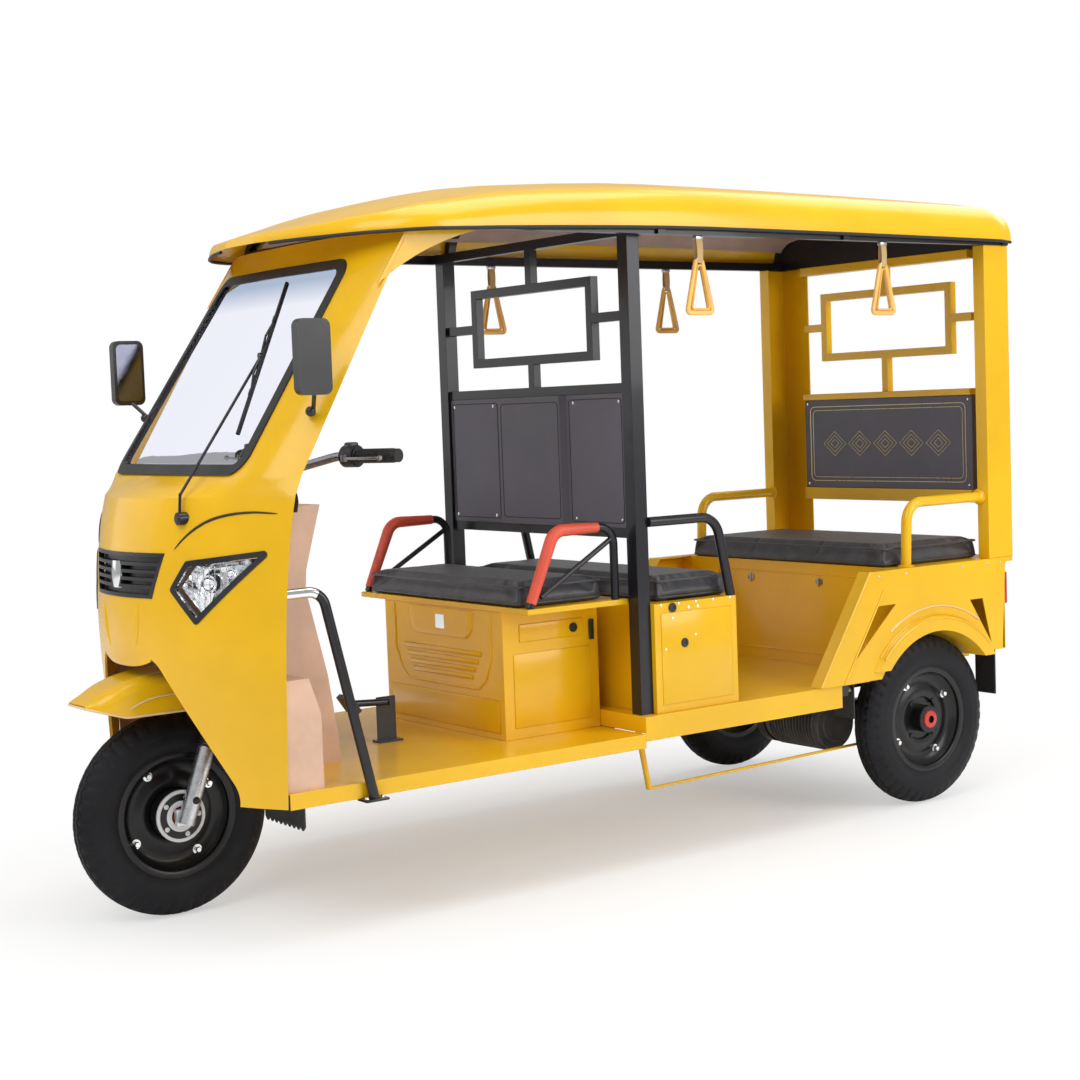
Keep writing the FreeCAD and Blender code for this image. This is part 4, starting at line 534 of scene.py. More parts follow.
def add_closed_bar(bm, loop, normal, thick, deep, count):
    """An oval bar along a closed flat ring: thick within the ring's plane, deep along its normal."""
    normal = Vector(normal)
    turns = [2 * math.pi * k / count for k in range(count)]
    rings = []
    for i, spot in enumerate(loop):
        side = (loop[(i + 1) % len(loop)] - loop[i - 1]).normalized().cross(normal)
        rings.append([spot + side * math.cos(t) * thick + normal * math.sin(t) * deep for t in turns])
    add_rings(bm, rings, joined=True)


def axis_turn(direction):
    """The turn that takes +X to a direction."""
    return Vector((1, 0, 0)).rotation_difference(Vector(direction).normalized()).to_matrix()


def add_turned(bm, centre, profile, direction=(1, 0, 0), count=32, ends=True):
    """A form turned about an axis: profile points are (along, radius) in metres."""
    turn = axis_turn(direction)
    rings = []
    for along, radius in profile:
        ring = []
        for i in range(count):
            a = 2 * math.pi * i / count
            ring.append(Vector(centre) + turn @ Vector((along, radius * math.cos(a), radius * math.sin(a))))
        rings.append(ring)
    add_rings(bm, rings, ends)


def add_bolt(bm, centre, direction, radius, height):
    """A hexagon head on a washer."""
    add_turned(bm, centre, [(0, radius * 1.55), (0.0012, radius * 1.55)], direction, 20)
    profile = [(0.001, radius), (height * 0.8, radius), (height, radius * 0.8)]
    add_turned(bm, centre, profile, direction, 6)


def curve_points(points, steps=6):
    """A smooth line through points, in steps between each two."""
    points = [Vector(p) for p in points]
    line = []
    for i in range(len(points) - 1):
        a = points[max(i - 1, 0)]
        b, c = points[i], points[i + 1]
        d = points[min(i + 2, len(points) - 1)]
        for k in range(steps):
            t = k / steps
            line.append(0.5 * (2 * b + (c - a) * t + (2 * a - 5 * b + 4 * c - d) * t * t
                               + (3 * b - a - 3 * c + d) * t ** 3))
    line.append(points[-1])
    return line


def round_bend(before, corner, after, radius, steps):
    """Points of the round bend that joins two straight runs at a corner."""
    into = (corner - before).normalized()
    out = (after - corner).normalized()
    half = into.angle(out) / 2
    back = radius * math.tan(half)
    first, last = corner - into * back, corner + out * back
    centre = corner + ((first + last) / 2 - corner).normalized() * (radius / math.cos(half))
    start, end = (first - centre).normalized(), (last - centre).normalized()
    return [centre + start.slerp(end, k / steps) * radius for k in range(steps + 1)]


def bent_line(points, radius, steps=8):
    """Straight runs joined by round bends."""
    points = [Vector(p) for p in points]
    line = [points[0]]
    for before, corner, after in zip(points, points[1:], points[2:]):
        line += round_bend(before, corner, after, radius, steps)
    return line + [points[-1]]


def rounded_corners(corners, radius, steps=6):
    """A closed ring through corners, each rounded."""
    loop = []
    for i, corner in enumerate(corners):
        loop += round_bend(corners[i - 1], corner, corners[(i + 1) % len(corners)], radius, steps)
    return loop


# Heads of round screws, from the largest to the smallest: (along, radius) in metres.
PANEL_SCREW = [(0, 0.0046), (0.0016, 0.0042), (0.0026, 0.002)]
SHEET_SCREW = [(0, 0.0042), (0.0014, 0.0038), (0.0022, 0.002)]
RIVET = [(0, 0.0036), (0.0012, 0.0033), (0.002, 0.0016)]


def add_pipe(bm, line, radius, count=16, flat=1.0, ends=True):
    """A round or oval bar along a line of points; radius may be one value or one for each point."""
    line = [Vector(p) for p in line]
    radii = radius if isinstance(radius, (list, tuple)) else [radius] * len(line)
    along = (line[1] - line[0]).normalized()
    side = along.orthogonal().normalized()
    if abs(along.z) < 0.9:
        side = along.cross(Vector((0, 0, 1))).normalized()
    rings = []
    for i, (spot, size) in enumerate(zip(line, radii)):
        ahead = line[min(i + 1, len(line) - 1)] - line[max(i - 1, 0)]
        ahead.normalize()
        side = (side - ahead * side.dot(ahead)).normalized()
        up = ahead.cross(side)
        ring = []
        for k in range(count):
            a = 2 * math.pi * k / count
            ring.append(spot + side * math.cos(a) * size + up * math.sin(a) * size * flat)
        rings.append(ring)
    add_rings(bm, rings, ends)


def add_plate(bm, rows, thick):
    """A skin through rows of points, given a thickness on the side away from its normals."""
    top = [[bm.verts.new(p) for p in row] for row in rows]
    normals = []
    for i, row in enumerate(rows):
        line = []
        for j in range(len(row)):
            u = Vector(row[min(j + 1, len(row) - 1)]) - Vector(row[max(j - 1, 0)])
            w = Vector(rows[min(i + 1, len(rows) - 1)][j]) - Vector(rows[max(i - 1, 0)][j])
            line.append(u.cross(w).normalized())
        normals.append(line)
    low = [[bm.verts.new(Vector(p) - normal * thick) for p, normal in zip(row, line)]
           for row, line in zip(rows, normals)]
    wide, long = len(rows[0]), len(rows)
    for i in range(long - 1):
        for j in range(wide - 1):
            bm.faces.new((top[i][j], top[i][j + 1], top[i + 1][j + 1], top[i + 1][j]))
            bm.faces.new((low[i][j], low[i + 1][j], low[i + 1][j + 1], low[i][j + 1]))
    for i in range(long - 1):
        for j, back in ((0, 1), (wide - 1, -1)):
            quad = (top[i][j], top[i + 1][j], low[i + 1][j], low[i][j])
            bm.faces.new(quad[::back])
    for j in range(wide - 1):
        for i, back in ((0, -1), (long - 1, 1)):
            quad = (top[i][j], top[i][j + 1], low[i][j + 1], low[i][j])
            bm.faces.new(quad[::back])


trees = {}


def on_skin(node, start, way):
    """Where a ray meets a CAD node, and that face's normal."""
    if node not in trees:
        mesh = frame["nodes"][node].data
        faces = [tuple(p.vertices) for p in mesh.polygons]
        trees[node] = BVHTree.FromPolygons([v.co for v in mesh.vertices], faces)
    spot, normal, _, _ = trees[node].ray_cast(Vector(start), Vector(way).normalized())
    if spot is None:
        raise RuntimeError(f"a ray from {tuple(start)} misses {node}")
    if normal.dot(Vector(way)) > 0:
        normal = -normal
    return spot, normal


def on_front(node, x, z):
    """Where a level ray from the front meets a CAD node, and the normal there; x and z are in millimetres."""
    return on_skin(node, at(x, -400, z), (0, 1, 0))


def front_line(node, points, lift=0.0):
    """Points (x, z) in millimetres laid on a node's front, each lifted off it."""
    line = []
    for x, z in points:
        spot, normal = on_front(node, x, z)
        line.append(spot + normal * lift)
    return line


# The CAD pieces keep their shape and take a finish.


def dress(node, finish_name, rounding):
    """Gives a CAD node its material and smooth faces, and rounds or keeps its sharp edges."""
    piece = frame["nodes"][node]
    piece.data.materials.clear()
    piece.data.materials.append(finish(finish_name))
    bpy.context.view_layer.objects.active = piece
    if piece.data.has_custom_normals:
        bpy.ops.mesh.customdata_custom_splitnormals_clear()
    for face in piece.data.polygons:
        face.material_index = 0
        face.use_smooth = True
    weld = piece.modifiers.new("Weld", "WELD")
    weld.merge_threshold = 0.00002
    if rounding:
        flat = piece.modifiers.new("Flat faces", "DECIMATE")
        flat.decimate_type = "DISSOLVE"
        flat.angle_limit = math.radians(0.4)
        soften = piece.modifiers.new("Round", "BEVEL")
        soften.width = mm(rounding)
        soften.segments = 2
        soften.limit_method = "ANGLE"
        soften.angle_limit = math.radians(40)
        soften.harden_normals = True
    else:
        split = piece.modifiers.new("Sharp", "EDGE_SPLIT")
        split.split_angle = math.radians(30)


# Nodes whose finish isn't the plain one of their slot, and the millimetres by which edges are rounded.
OWN_FINISH = {"handlebar": "dark_steel"}
ROUNDED = {
    "front_floor": 1.2, "rear_floor": 1.2, "driver_box": 1.2, "middle_box": 1.2, "rear_box": 1.2,
    "side_panels": 1.0, "rear_frame": 1.6, "middle_frame": 1.8, "chassis": 1.5,
    "middle_backrest": 2.0, "rear_backrest": 2.0, "tail_lamps": 3.0, "mud_flaps": 1.0, "front_flaps": 0.8,
    "brake_linkage": 0.8, "pedals": 1.0, "motor": 3.0,
}


class RICKSHAW_OT_paint(bpy.types.Operator):
    """Gives every CAD piece its finish"""

    bl_idname = "rickshaw.paint"
    bl_label = "Paint and finish"

    def execute(self, context):
        for part in frame["record"]["subparts"]:
            node = part["node"]
            dress(node, OWN_FINISH.get(node, part["material_slot"]), ROUNDED.get(node, 0))
        return {"FINISHED"}


# Wheels.

# Half of the tyre's outline from its bead to its tread: (half width, radius) in millimetres.
WALL = ((34, 153), (37, 155), (39, 159), (42, 164), (45, 171), (46.4, 178), (46.8, 184), (46.6, 190),
        (46.0, 195), (45.2, 199), (45.5, 201), (44.8, 204), (43.8, 209), (42.3, 214), (40.8, 219))
# The tread's half width, its radius and its fall at the shoulders, the grooves and the lugs, in metres.
TREAD_HALF, TREAD_RADIUS, TREAD_FALL = 0.0385, 0.2479, 0.024
TREAD_STEPS, TREAD_FOOT = 20, 0.217
GROOVES, GROOVE_HALF, ZIGZAG = (-0.0155, 0.0, 0.0155), 0.0026, 0.0035
LUG_START, LUG_GAP = 0.026, 0.26
# Points round the tyre for each block.
BLOCK_STEPS = 6


def add_tyre(bm, centre, settings):
    """A tyre with ribbed walls, shoulder lugs and zigzag grooves."""
    wall = [(mm(x), mm(r)) for x, r in WALL]
    shares = [1 - 2 * k / TREAD_STEPS for k in range(1, TREAD_STEPS)]
    crown = [(TREAD_HALF * s, TREAD_RADIUS - TREAD_FALL * abs(s) ** 3.2) for s in shares]
    profile = wall + crown + [(-x, r) for x, r in reversed(wall)]
    count = settings.blocks * BLOCK_STEPS
    rings = []
    for i in range(count):
        a = 2 * math.pi * i / count
        phase = (i % BLOCK_STEPS) / BLOCK_STEPS
        zigzag = ZIGZAG * (abs(phase * 2 - 1) * 2 - 1)
        ring = []
        for x, r in profile:
            grooved = any(abs(x - groove - zigzag) < GROOVE_HALF for groove in GROOVES)
            gap = abs(x) > LUG_START and phase < LUG_GAP
            if r > TREAD_FOOT and (grooved or gap):
                r -= settings.tread_depth
            ring.append(Vector(centre) + Vector((x, r * math.sin(a), r * math.cos(a))))
        rings.append(ring)
    add_rings(bm, rings, joined=True)


def node_middle(node):
    """The middle of a CAD node's box."""
    low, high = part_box(node)
    return (low + high) / 2


WHEELS = (("front", "front_wheel"), ("rear_left", "rear_left_wheel"), ("rear_right", "rear_right_wheel"))


class RICKSHAW_OT_tyres(bpy.types.Operator):
    """Makes the three tyres with their tread"""

    bl_idname = "rickshaw.tyres"
    bl_label = "Tyres"

    def execute(self, context):
        for wheel, body in WHEELS:
            bm = bmesh.new()
            add_tyre(bm, node_middle(f"{wheel}_tyre"), context.scene.rickshaw_tyres)
            new_piece(f"{wheel}_tread", bm, body, "tyre_rubber", angle=50, node=f"{wheel}_tyre")
        return {"FINISHED"}


# Turned trim of the wheels: (along the axle, radius) in metres.
RIM_LIP = [(0.0235, 0.1385), (0.0315, 0.1375), (0.0345, 0.1385), (0.0365, 0.1435), (0.037, 0.150),
           (0.0365, 0.1545), (0.0345, 0.1550), (0.0335, 0.1525), (0.0330, 0.1500), (0.0325, 0.1468)]
RIM_DISH = [(0.003, 0.060), (0.010, 0.064), (0.0125, 0.074), (0.0115, 0.090), (0.0065, 0.100),
            (0.0045, 0.112), (0.0075, 0.122), (0.016, 0.132), (0.026, 0.1400)]
DRUM_FACE = [(0.050, 0.0635), (0.0555, 0.0630), (0.0565, 0.0600), (0.0560, 0.0560), (0.0545, 0.0545),
             (0.0548, 0.0380), (0.0562, 0.0360), (0.0562, 0.0250)]
DRUM_CAP = [(0.0555, 0.0205), (0.0575, 0.0195), (0.0580, 0.0160), (0.0580, 0.0105)]
REAR_HUB = [(0.0405, 0.0405), (0.0430, 0.0385), (0.0435, 0.0340), (0.0435, 0.0220)]
REAR_CAP = [(0.0430, 0.0260), (0.0475, 0.0250), (0.0490, 0.0200), (0.0490, 0.0112)]


def add_bolt_circle(bm, centre, sign, count, turn, along, circle, radius, height):
    """Bolts on a circle round an axle, the first turned by a share of their spacing."""
    for i in range(count):
        a = 2 * math.pi * (i + turn) / count
        spot = centre + Vector((sign * along, circle * math.cos(a), circle * math.sin(a)))
        add_bolt(bm, spot, (sign, 0, 0), radius, height)


class RICKSHAW_OT_wheel_trim(bpy.types.Operator):
    """Adds rim lips, studs, brake drums and hub caps to the wheels"""

    bl_idname = "rickshaw.wheel_trim"
    bl_label = "Wheel trim"

    def execute(self, context):
        studs = context.scene.rickshaw_tyres.studs
        for wheel, body in WHEELS:
            centre = node_middle(f"{wheel}_rim")
            lips, bolts = bmesh.new(), bmesh.new()
            for sign in SIDES:
                add_turned(lips, centre, RIM_LIP, (sign, 0, 0), 72, ends=False)
                add_turned(lips, centre, RIM_DISH, (sign, 0, 0), 72, ends=False)
                add_bolt_circle(bolts, centre, sign, studs, 0.35, 0.006, 0.116, 0.0078, 0.011)
            new_piece(f"{wheel}_rim_lips", lips, body, "rim_paint", angle=40)
            new_piece(f"{wheel}_studs", bolts, body, "hinge_steel", "chrome")
            self.hub(wheel, body, centre)
        return {"FINISHED"}

    def hub(self, wheel, body, centre):
        """The front hub is a turned alloy drum; the rear ones have a red cap outside."""
        drum, cap = bmesh.new(), bmesh.new()
        if wheel == "front":
            look = "hub_alloy"
            for sign in SIDES:
                add_turned(drum, centre, DRUM_FACE, (sign, 0, 0), 64, ends=False)
                add_turned(cap, centre, DRUM_CAP, (sign, 0, 0), 40, ends=False)
                add_bolt_circle(drum, centre, sign, 5, 0, 0.0545, 0.047, 0.004, 0.004)
        else:
            look = "rim_paint"
            sign = 1 if centre.x > 0 else -1
            add_turned(drum, centre, REAR_HUB, (sign, 0, 0), 48, ends=False)
            add_turned(cap, centre, REAR_CAP, (sign, 0, 0), 40, ends=False)
            add_bolt_circle(drum, centre, sign, 4, 0.5, 0.0030, 0.066, 0.0075, 0.012)
        new_piece(f"{wheel}_hub_face", drum, body, "rim_paint", look, angle=40)
        new_piece(f"{wheel}_hub_cap", cap, body, "rim_paint", "red_paint", angle=40)


# Cushions, in metres: the block that swells, the channels and shoulders of its top, and its piping.
BLOCK_INSET, BLOCK_CROWN, BLOCK_EDGE = 0.005, 0.009, 0.010
BASE_HEIGHT, TOP_START = 0.014, 0.03
CHANNEL_HALF, CHANNEL_DEEP = 0.016, 0.0065
SHOULDER_WIDE, SHOULDER_DROP = 0.05, 0.010
SIDE_ROOM, BASE_ROOM = 0.002, 0.0003
PIPING, PIPING_SET, PIPING_ROUND = 0.0028, 0.0045, 0.016
PIPING_TOP, PIPING_FOOT = 0.0135, 0.009
CLOTH_FRAMES = 20


def swell(piece, settings, low):
    """Inflates a closed mesh as cloth, with its base held, and keeps each point's move within the travel."""
    points = [v.co.copy() for v in piece.data.vertices]
    base = piece.vertex_groups.new(name="Base")
    base.add([i for i, p in enumerate(points) if p.z < low + BASE_HEIGHT], 1.0, "REPLACE")
    cloth = piece.modifiers.new("Cloth", "CLOTH")
    cloth.settings.use_pressure = True
    cloth.settings.uniform_pressure_force = settings.pressure
    cloth.settings.effector_weights.gravity = 0
    cloth.settings.vertex_group_mass = "Base"
    cloth.settings.tension_stiffness = 12
    cloth.settings.compression_stiffness = 12
    scene = bpy.context.scene
    for number in range(CLOTH_FRAMES):
        scene.frame_set(number + 1)
    grown = piece.evaluated_get(bpy.context.evaluated_depsgraph_get())
    moved = [v.co.copy() for v in grown.data.vertices]
    piece.modifiers.remove(cloth)
    for vertex, start, end in zip(piece.data.vertices, points, moved):
        shift = end - start
        if shift.length > settings.travel:
            shift *= settings.travel / shift.length
        vertex.co = start + shift
    scene.frame_set(1)


def apply_modifier(piece, name):
    """Makes a modifier part of the mesh."""
    bpy.context.view_layer.objects.active = piece
    bpy.ops.object.modifier_apply(modifier=name)


def make_cushion(name, node, body, panels, settings):
    """A seat cushion, swollen from a slightly smaller block, with channels across its top and piped edges."""
    low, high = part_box(node)
    bm = bmesh.new()
    foot = low + Vector((BLOCK_INSET, BLOCK_INSET, 0))
    add_block(bm, foot, high - Vector((BLOCK_INSET, BLOCK_INSET, BLOCK_CROWN)), BLOCK_EDGE, 3)
    piece = mesh_piece(name, bm)
    remesh = piece.modifiers.new("Remesh", "REMESH")
    remesh.mode = "VOXEL"
    remesh.voxel_size = settings.voxel
    apply_modifier(piece, "Remesh")
    swell(piece, settings, low.z)
    seams = [low.x + (high.x - low.x) * (i + 1) / panels for i in range(panels - 1)]
    shape_top(piece, low, high, seams)
    smooth = piece.modifiers.new("Smooth", "SUBSURF")
    smooth.levels = 1
    smooth.render_levels = 1
    apply_modifier(piece, "Smooth")
    for face in piece.data.polygons:
        face.use_smooth = True
    piece.data.materials.append(finish("seat_leather"))
    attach(piece, body)
    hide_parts(node)
    piping = bmesh.new()
    border = Vector((PIPING_SET, PIPING_SET, 0))
    for height in (high.z - PIPING_TOP, low.z + PIPING_FOOT):
        loop = rounded_loop(low + border, high - border, height, PIPING_ROUND)
        add_closed_bar(piping, loop, (0, 0, 1), PIPING, PIPING, 8)
    new_piece(f"{name}_piping", piping, body, "seat_leather")


def shape_top(piece, low, high, seams):
    """Sinks the sewn channels, rounds the shoulders and keeps the cushion inside its block's room."""
    for vertex in piece.data.vertices:
        spot = vertex.co
        if spot.z > low.z + TOP_START:
            for seam in seams:
                gap = abs(spot.x - seam)
                if gap < CHANNEL_HALF:
                    spot.z -= CHANNEL_DEEP * (1 - gap / CHANNEL_HALF) ** 2
        side = min(spot.x - low.x, high.x - spot.x, spot.y - low.y, high.y - spot.y)
        limit = high.z - SHOULDER_DROP * max(0.0, 1 - side / SHOULDER_WIDE) ** 2
        spot.z = max(low.z + BASE_ROOM, min(limit, spot.z))
        spot.x = max(low.x + SIDE_ROOM, min(high.x - SIDE_ROOM, spot.x))
        spot.y = max(low.y + SIDE_ROOM, min(high.y - SIDE_ROOM, spot.y))


def rounded_loop(low, high, height, radius, steps=6):
    """A level rectangle with round corners, as a closed ring of points."""
    corners = ((high.x - radius, high.y - radius, 0), (low.x + radius, high.y - radius, 90),
               (low.x + radius, low.y + radius, 180), (high.x - radius, low.y + radius, 270))
    loop = []
    for x, y, start in corners:
        for k in range(steps + 1):
            a = math.radians(start + 90 * k / steps)
            loop.append(Vector((x + radius * math.cos(a), y + radius * math.sin(a), height)))
    return loop


class RICKSHAW_OT_cushions(bpy.types.Operator):
    """Makes the three seat cushions by cloth simulation"""

    bl_idname = "rickshaw.cushions"
    bl_label = "Cushions"

    def execute(self, context):
        settings = context.scene.rickshaw_cushions
        make_cushion("driver_seat", "driver_cushion", "driver_seat_lid", 1, settings)
        make_cushion("middle_seat", "middle_cushion", "middle_seat_lid", 2, settings)
        make_cushion("rear_seat", "rear_cushion", "rear_seat_lid", 3, settings)
        return {"FINISHED"}


# Roof.

ROOF_FRONT, ROOF_REAR, ROOF_HALF, ROOF_EDGE, VISOR_EDGE, ROOF_RISE = 293, 2595, 500, 1662, 1634, 146
ROOF_SKIRT, ROOF_WALL = 8, 5
# How far back from the roof's front: (share of half width, share of the edge's climb, share of the rise).
ROOF_SHARES = {
    0: (0.15, 0, 0.09), 47: (0.5, 0, 0.17), 137: (0.84, 0.06, 0.34), 262: (1, 0.22, 0.57),
    600: (1, 0.65, 0.9), 1100: (1, 1, 1), 2242: (1, 0.8, 0.96), 2302: (0.985, 0.72, 0.86),
}


def eased(table, place):
    """Values between the stations of a table, on a smooth line that never leaves their range."""
    spots = sorted(table)
    place = min(max(place, spots[0]), spots[-1])
    k = max(i for i in range(len(spots) - 1) if place >= spots[i])
    wide = spots[k + 1] - spots[k]
    h = (place - spots[k]) / wide

    def slope(i, channel):
        if i in (0, len(spots) - 1):
            return 0.0 if i else (table[spots[1]][channel] - table[spots[0]][channel]) / (spots[1] - spots[0])
        before = (table[spots[i]][channel] - table[spots[i - 1]][channel]) / (spots[i] - spots[i - 1])
        after = (table[spots[i + 1]][channel] - table[spots[i]][channel]) / (spots[i + 1] - spots[i])
        return 0.0 if before * after <= 0 else 2 * before * after / (before + after)

    values = []
    for channel in range(len(table[spots[0]])):
        a, b = table[spots[k]][channel], table[spots[k + 1]][channel]
        first, last = slope(k, channel) * wide, slope(k + 1, channel) * wide
        values.append(a * (2 * h**3 - 3 * h**2 + 1) + first * (h**3 - 2 * h**2 + h)
                      + b * (3 * h**2 - 2 * h**3) + last * (h**3 - h**2))
    return values


def arc_points(first, middle, last, steps):
    """Points of the circle through three points."""
    a, b, c = Vector(first), Vector(middle), Vector(last)
    d = 2 * (a.x * (b.y - c.y) + b.x * (c.y - a.y) + c.x * (a.y - b.y))
    x = (a.length_squared * (b.y - c.y) + b.length_squared * (c.y - a.y) + c.length_squared * (a.y - b.y)) / d
    y = (a.length_squared * (c.x - b.x) + b.length_squared * (a.x - c.x) + c.length_squared * (b.x - a.x)) / d
    start = math.atan2(a.y - y, a.x - x)
    end = math.atan2(c.y - y, c.x - x)
    radius = (a - Vector((x, y))).length
    turns = [start + (end - start) * k / steps for k in range(steps + 1)]
    return [(x + radius * math.cos(t), y + radius * math.sin(t)) for t in turns]


def roof_ring(back, inset=0.0):
    """One arched section of the roof at a distance behind its front, from the left edge to the right."""
    wide, climb, rise = eased(ROOF_SHARES, back)
    half = ROOF_HALF * wide - inset
    high = ROOF_RISE * rise - inset
    edge = VISOR_EDGE + (ROOF_EDGE - VISOR_EDGE) * climb
    side = arc_points((half, 0), (0.96 * half, 0.42 * high), (0.86 * half, 0.66 * high), 8)
    crown = arc_points((0.86 * half, 0.66 * high), (0, high), (-0.86 * half, 0.66 * high), 28)
    outline = [(half, -ROOF_SKIRT)] + side + crown[1:-1]
    outline += [(-x, z) for x, z in reversed(side)] + [(-half, -ROOF_SKIRT)]
    return [at(x, ROOF_FRONT + back, edge + z) for x, z in outline]


def close_at_end(ring):
    """The same section drawn down to its lower edge, which closes the skin's end."""
    return [Vector((p.x, p.y, ring[0].z)) for p in ring]


# Where the skin's sections stand, back from the roof's front.
ROOF_PLACES = (
    0, 6, 14, 26, 40, 56, 76, 100, 130, 165, 205, 250, 300, 360, 430, 510, 600, 700, 820, 960, 1100, 1300,
    1500, 1700, 1900, 2050, 2150, 2200, 2230, 2250, 2265, 2278, 2288, 2296, ROOF_REAR - ROOF_FRONT,
)


class RICKSHAW_OT_roof(bpy.types.Operator):
    """Makes the roof's smooth skin, its rubber edge and its lining"""

    bl_idname = "rickshaw.roof"
    bl_label = "Roof"

    def execute(self, context):
        rings = [roof_ring(place) for place in ROOF_PLACES]
        skin = bmesh.new()
        add_plate(skin, [close_at_end(rings[0])] + rings + [close_at_end(rings[-1])], mm(-ROOF_WALL))
        new_piece("roof_skin", skin, "body", "body_paint", angle=60, node="roof_shell")
        self.edge_trim()
        self.lining()
        return {"FINISHED"}

    def edge_trim(self):
        """A rubber bead along each lower edge."""
        trim = bmesh.new()
        for end in (0, -1):
            line = [roof_ring(place, 1.0)[end] + Vector((0, 0, -0.0045)) for place in ROOF_PLACES[2:]]
            add_pipe(trim, line, 0.0044, 10)
        new_piece("roof_edge_trim", trim, "body", "rubber")

    def lining(self):
        """A fabric lining stretched under the bows."""
        cloth = bmesh.new()
        rows = []
        for place in range(300, 2281, 60):
            ring = roof_ring(place, 29)
            rows.append([Vector((p.x, p.y, max(p.z, mm(1660)))) for p in ring[4:-4]])
        add_plate(cloth, rows, 0.002)
        new_piece("roof_lining", cloth, "body", "inner_plastic", "head_lining", angle=60)


# Nose.

# Styling lines on the left of the nose, seen from the front: (across, height).
GROOVE = ((216, 905), (240, 930), (268, 952), (305, 972), (350, 984), (400, 988), (446, 984))
CREASE = ((96, 778), (92, 740), (84, 700), (70, 664))
# The pressed lip over the wheel: its half width, two heights that give the shell's slope, its top, its falls.
APRON_HALF, APRON_UPPER, APRON_EDGE, APRON_TOP = 128, 684, 656, 654
APRON_DROPS = (0, 8, 17, 24, 29, 31)
# The left lamp: its face's start and its turn in degrees, and corners on the face: (along, height).
LAMP_START, LAMP_TURN = (205, -27, 0), 28.1
LAMP_CORNERS = ((17, 815), (74, 754), (232, 884), (62, 866))
# The bowl's rings: (depth behind the face in metres, share of the outline).
BOWL_RINGS = ((0.016, 1.0), (0.026, 0.93), (0.040, 0.72), (0.046, 0.4))
# The bulbs: (along, height, radius in metres), and a bulb's outline: (along its axis, share of the radius).
BULBS = ((82, 822, 0.021), (150, 848, 0.014))
DOME = ((0, 1), (0.004, 1), (0.010, 0.82), (0.014, 0.45), (0.0155, 0.08))


def lamp_axes(sign):
    """The directions along a lamp's face, outwards, and back from it."""
    turn = math.radians(LAMP_TURN)
    face = Vector((sign * math.cos(turn), math.sin(turn), 0))
    return face, Vector((-sign * math.sin(turn), math.cos(turn), 0))


def lamp_spot(sign, along, height, depth):
    """A point of a lamp: along its face and up in millimetres, and back from it in metres."""
    face, back = lamp_axes(sign)
    x, y, z = LAMP_START
    return at(sign * x, y, z) + face * mm(along) + Vector((0, 0, mm(height))) + back * depth


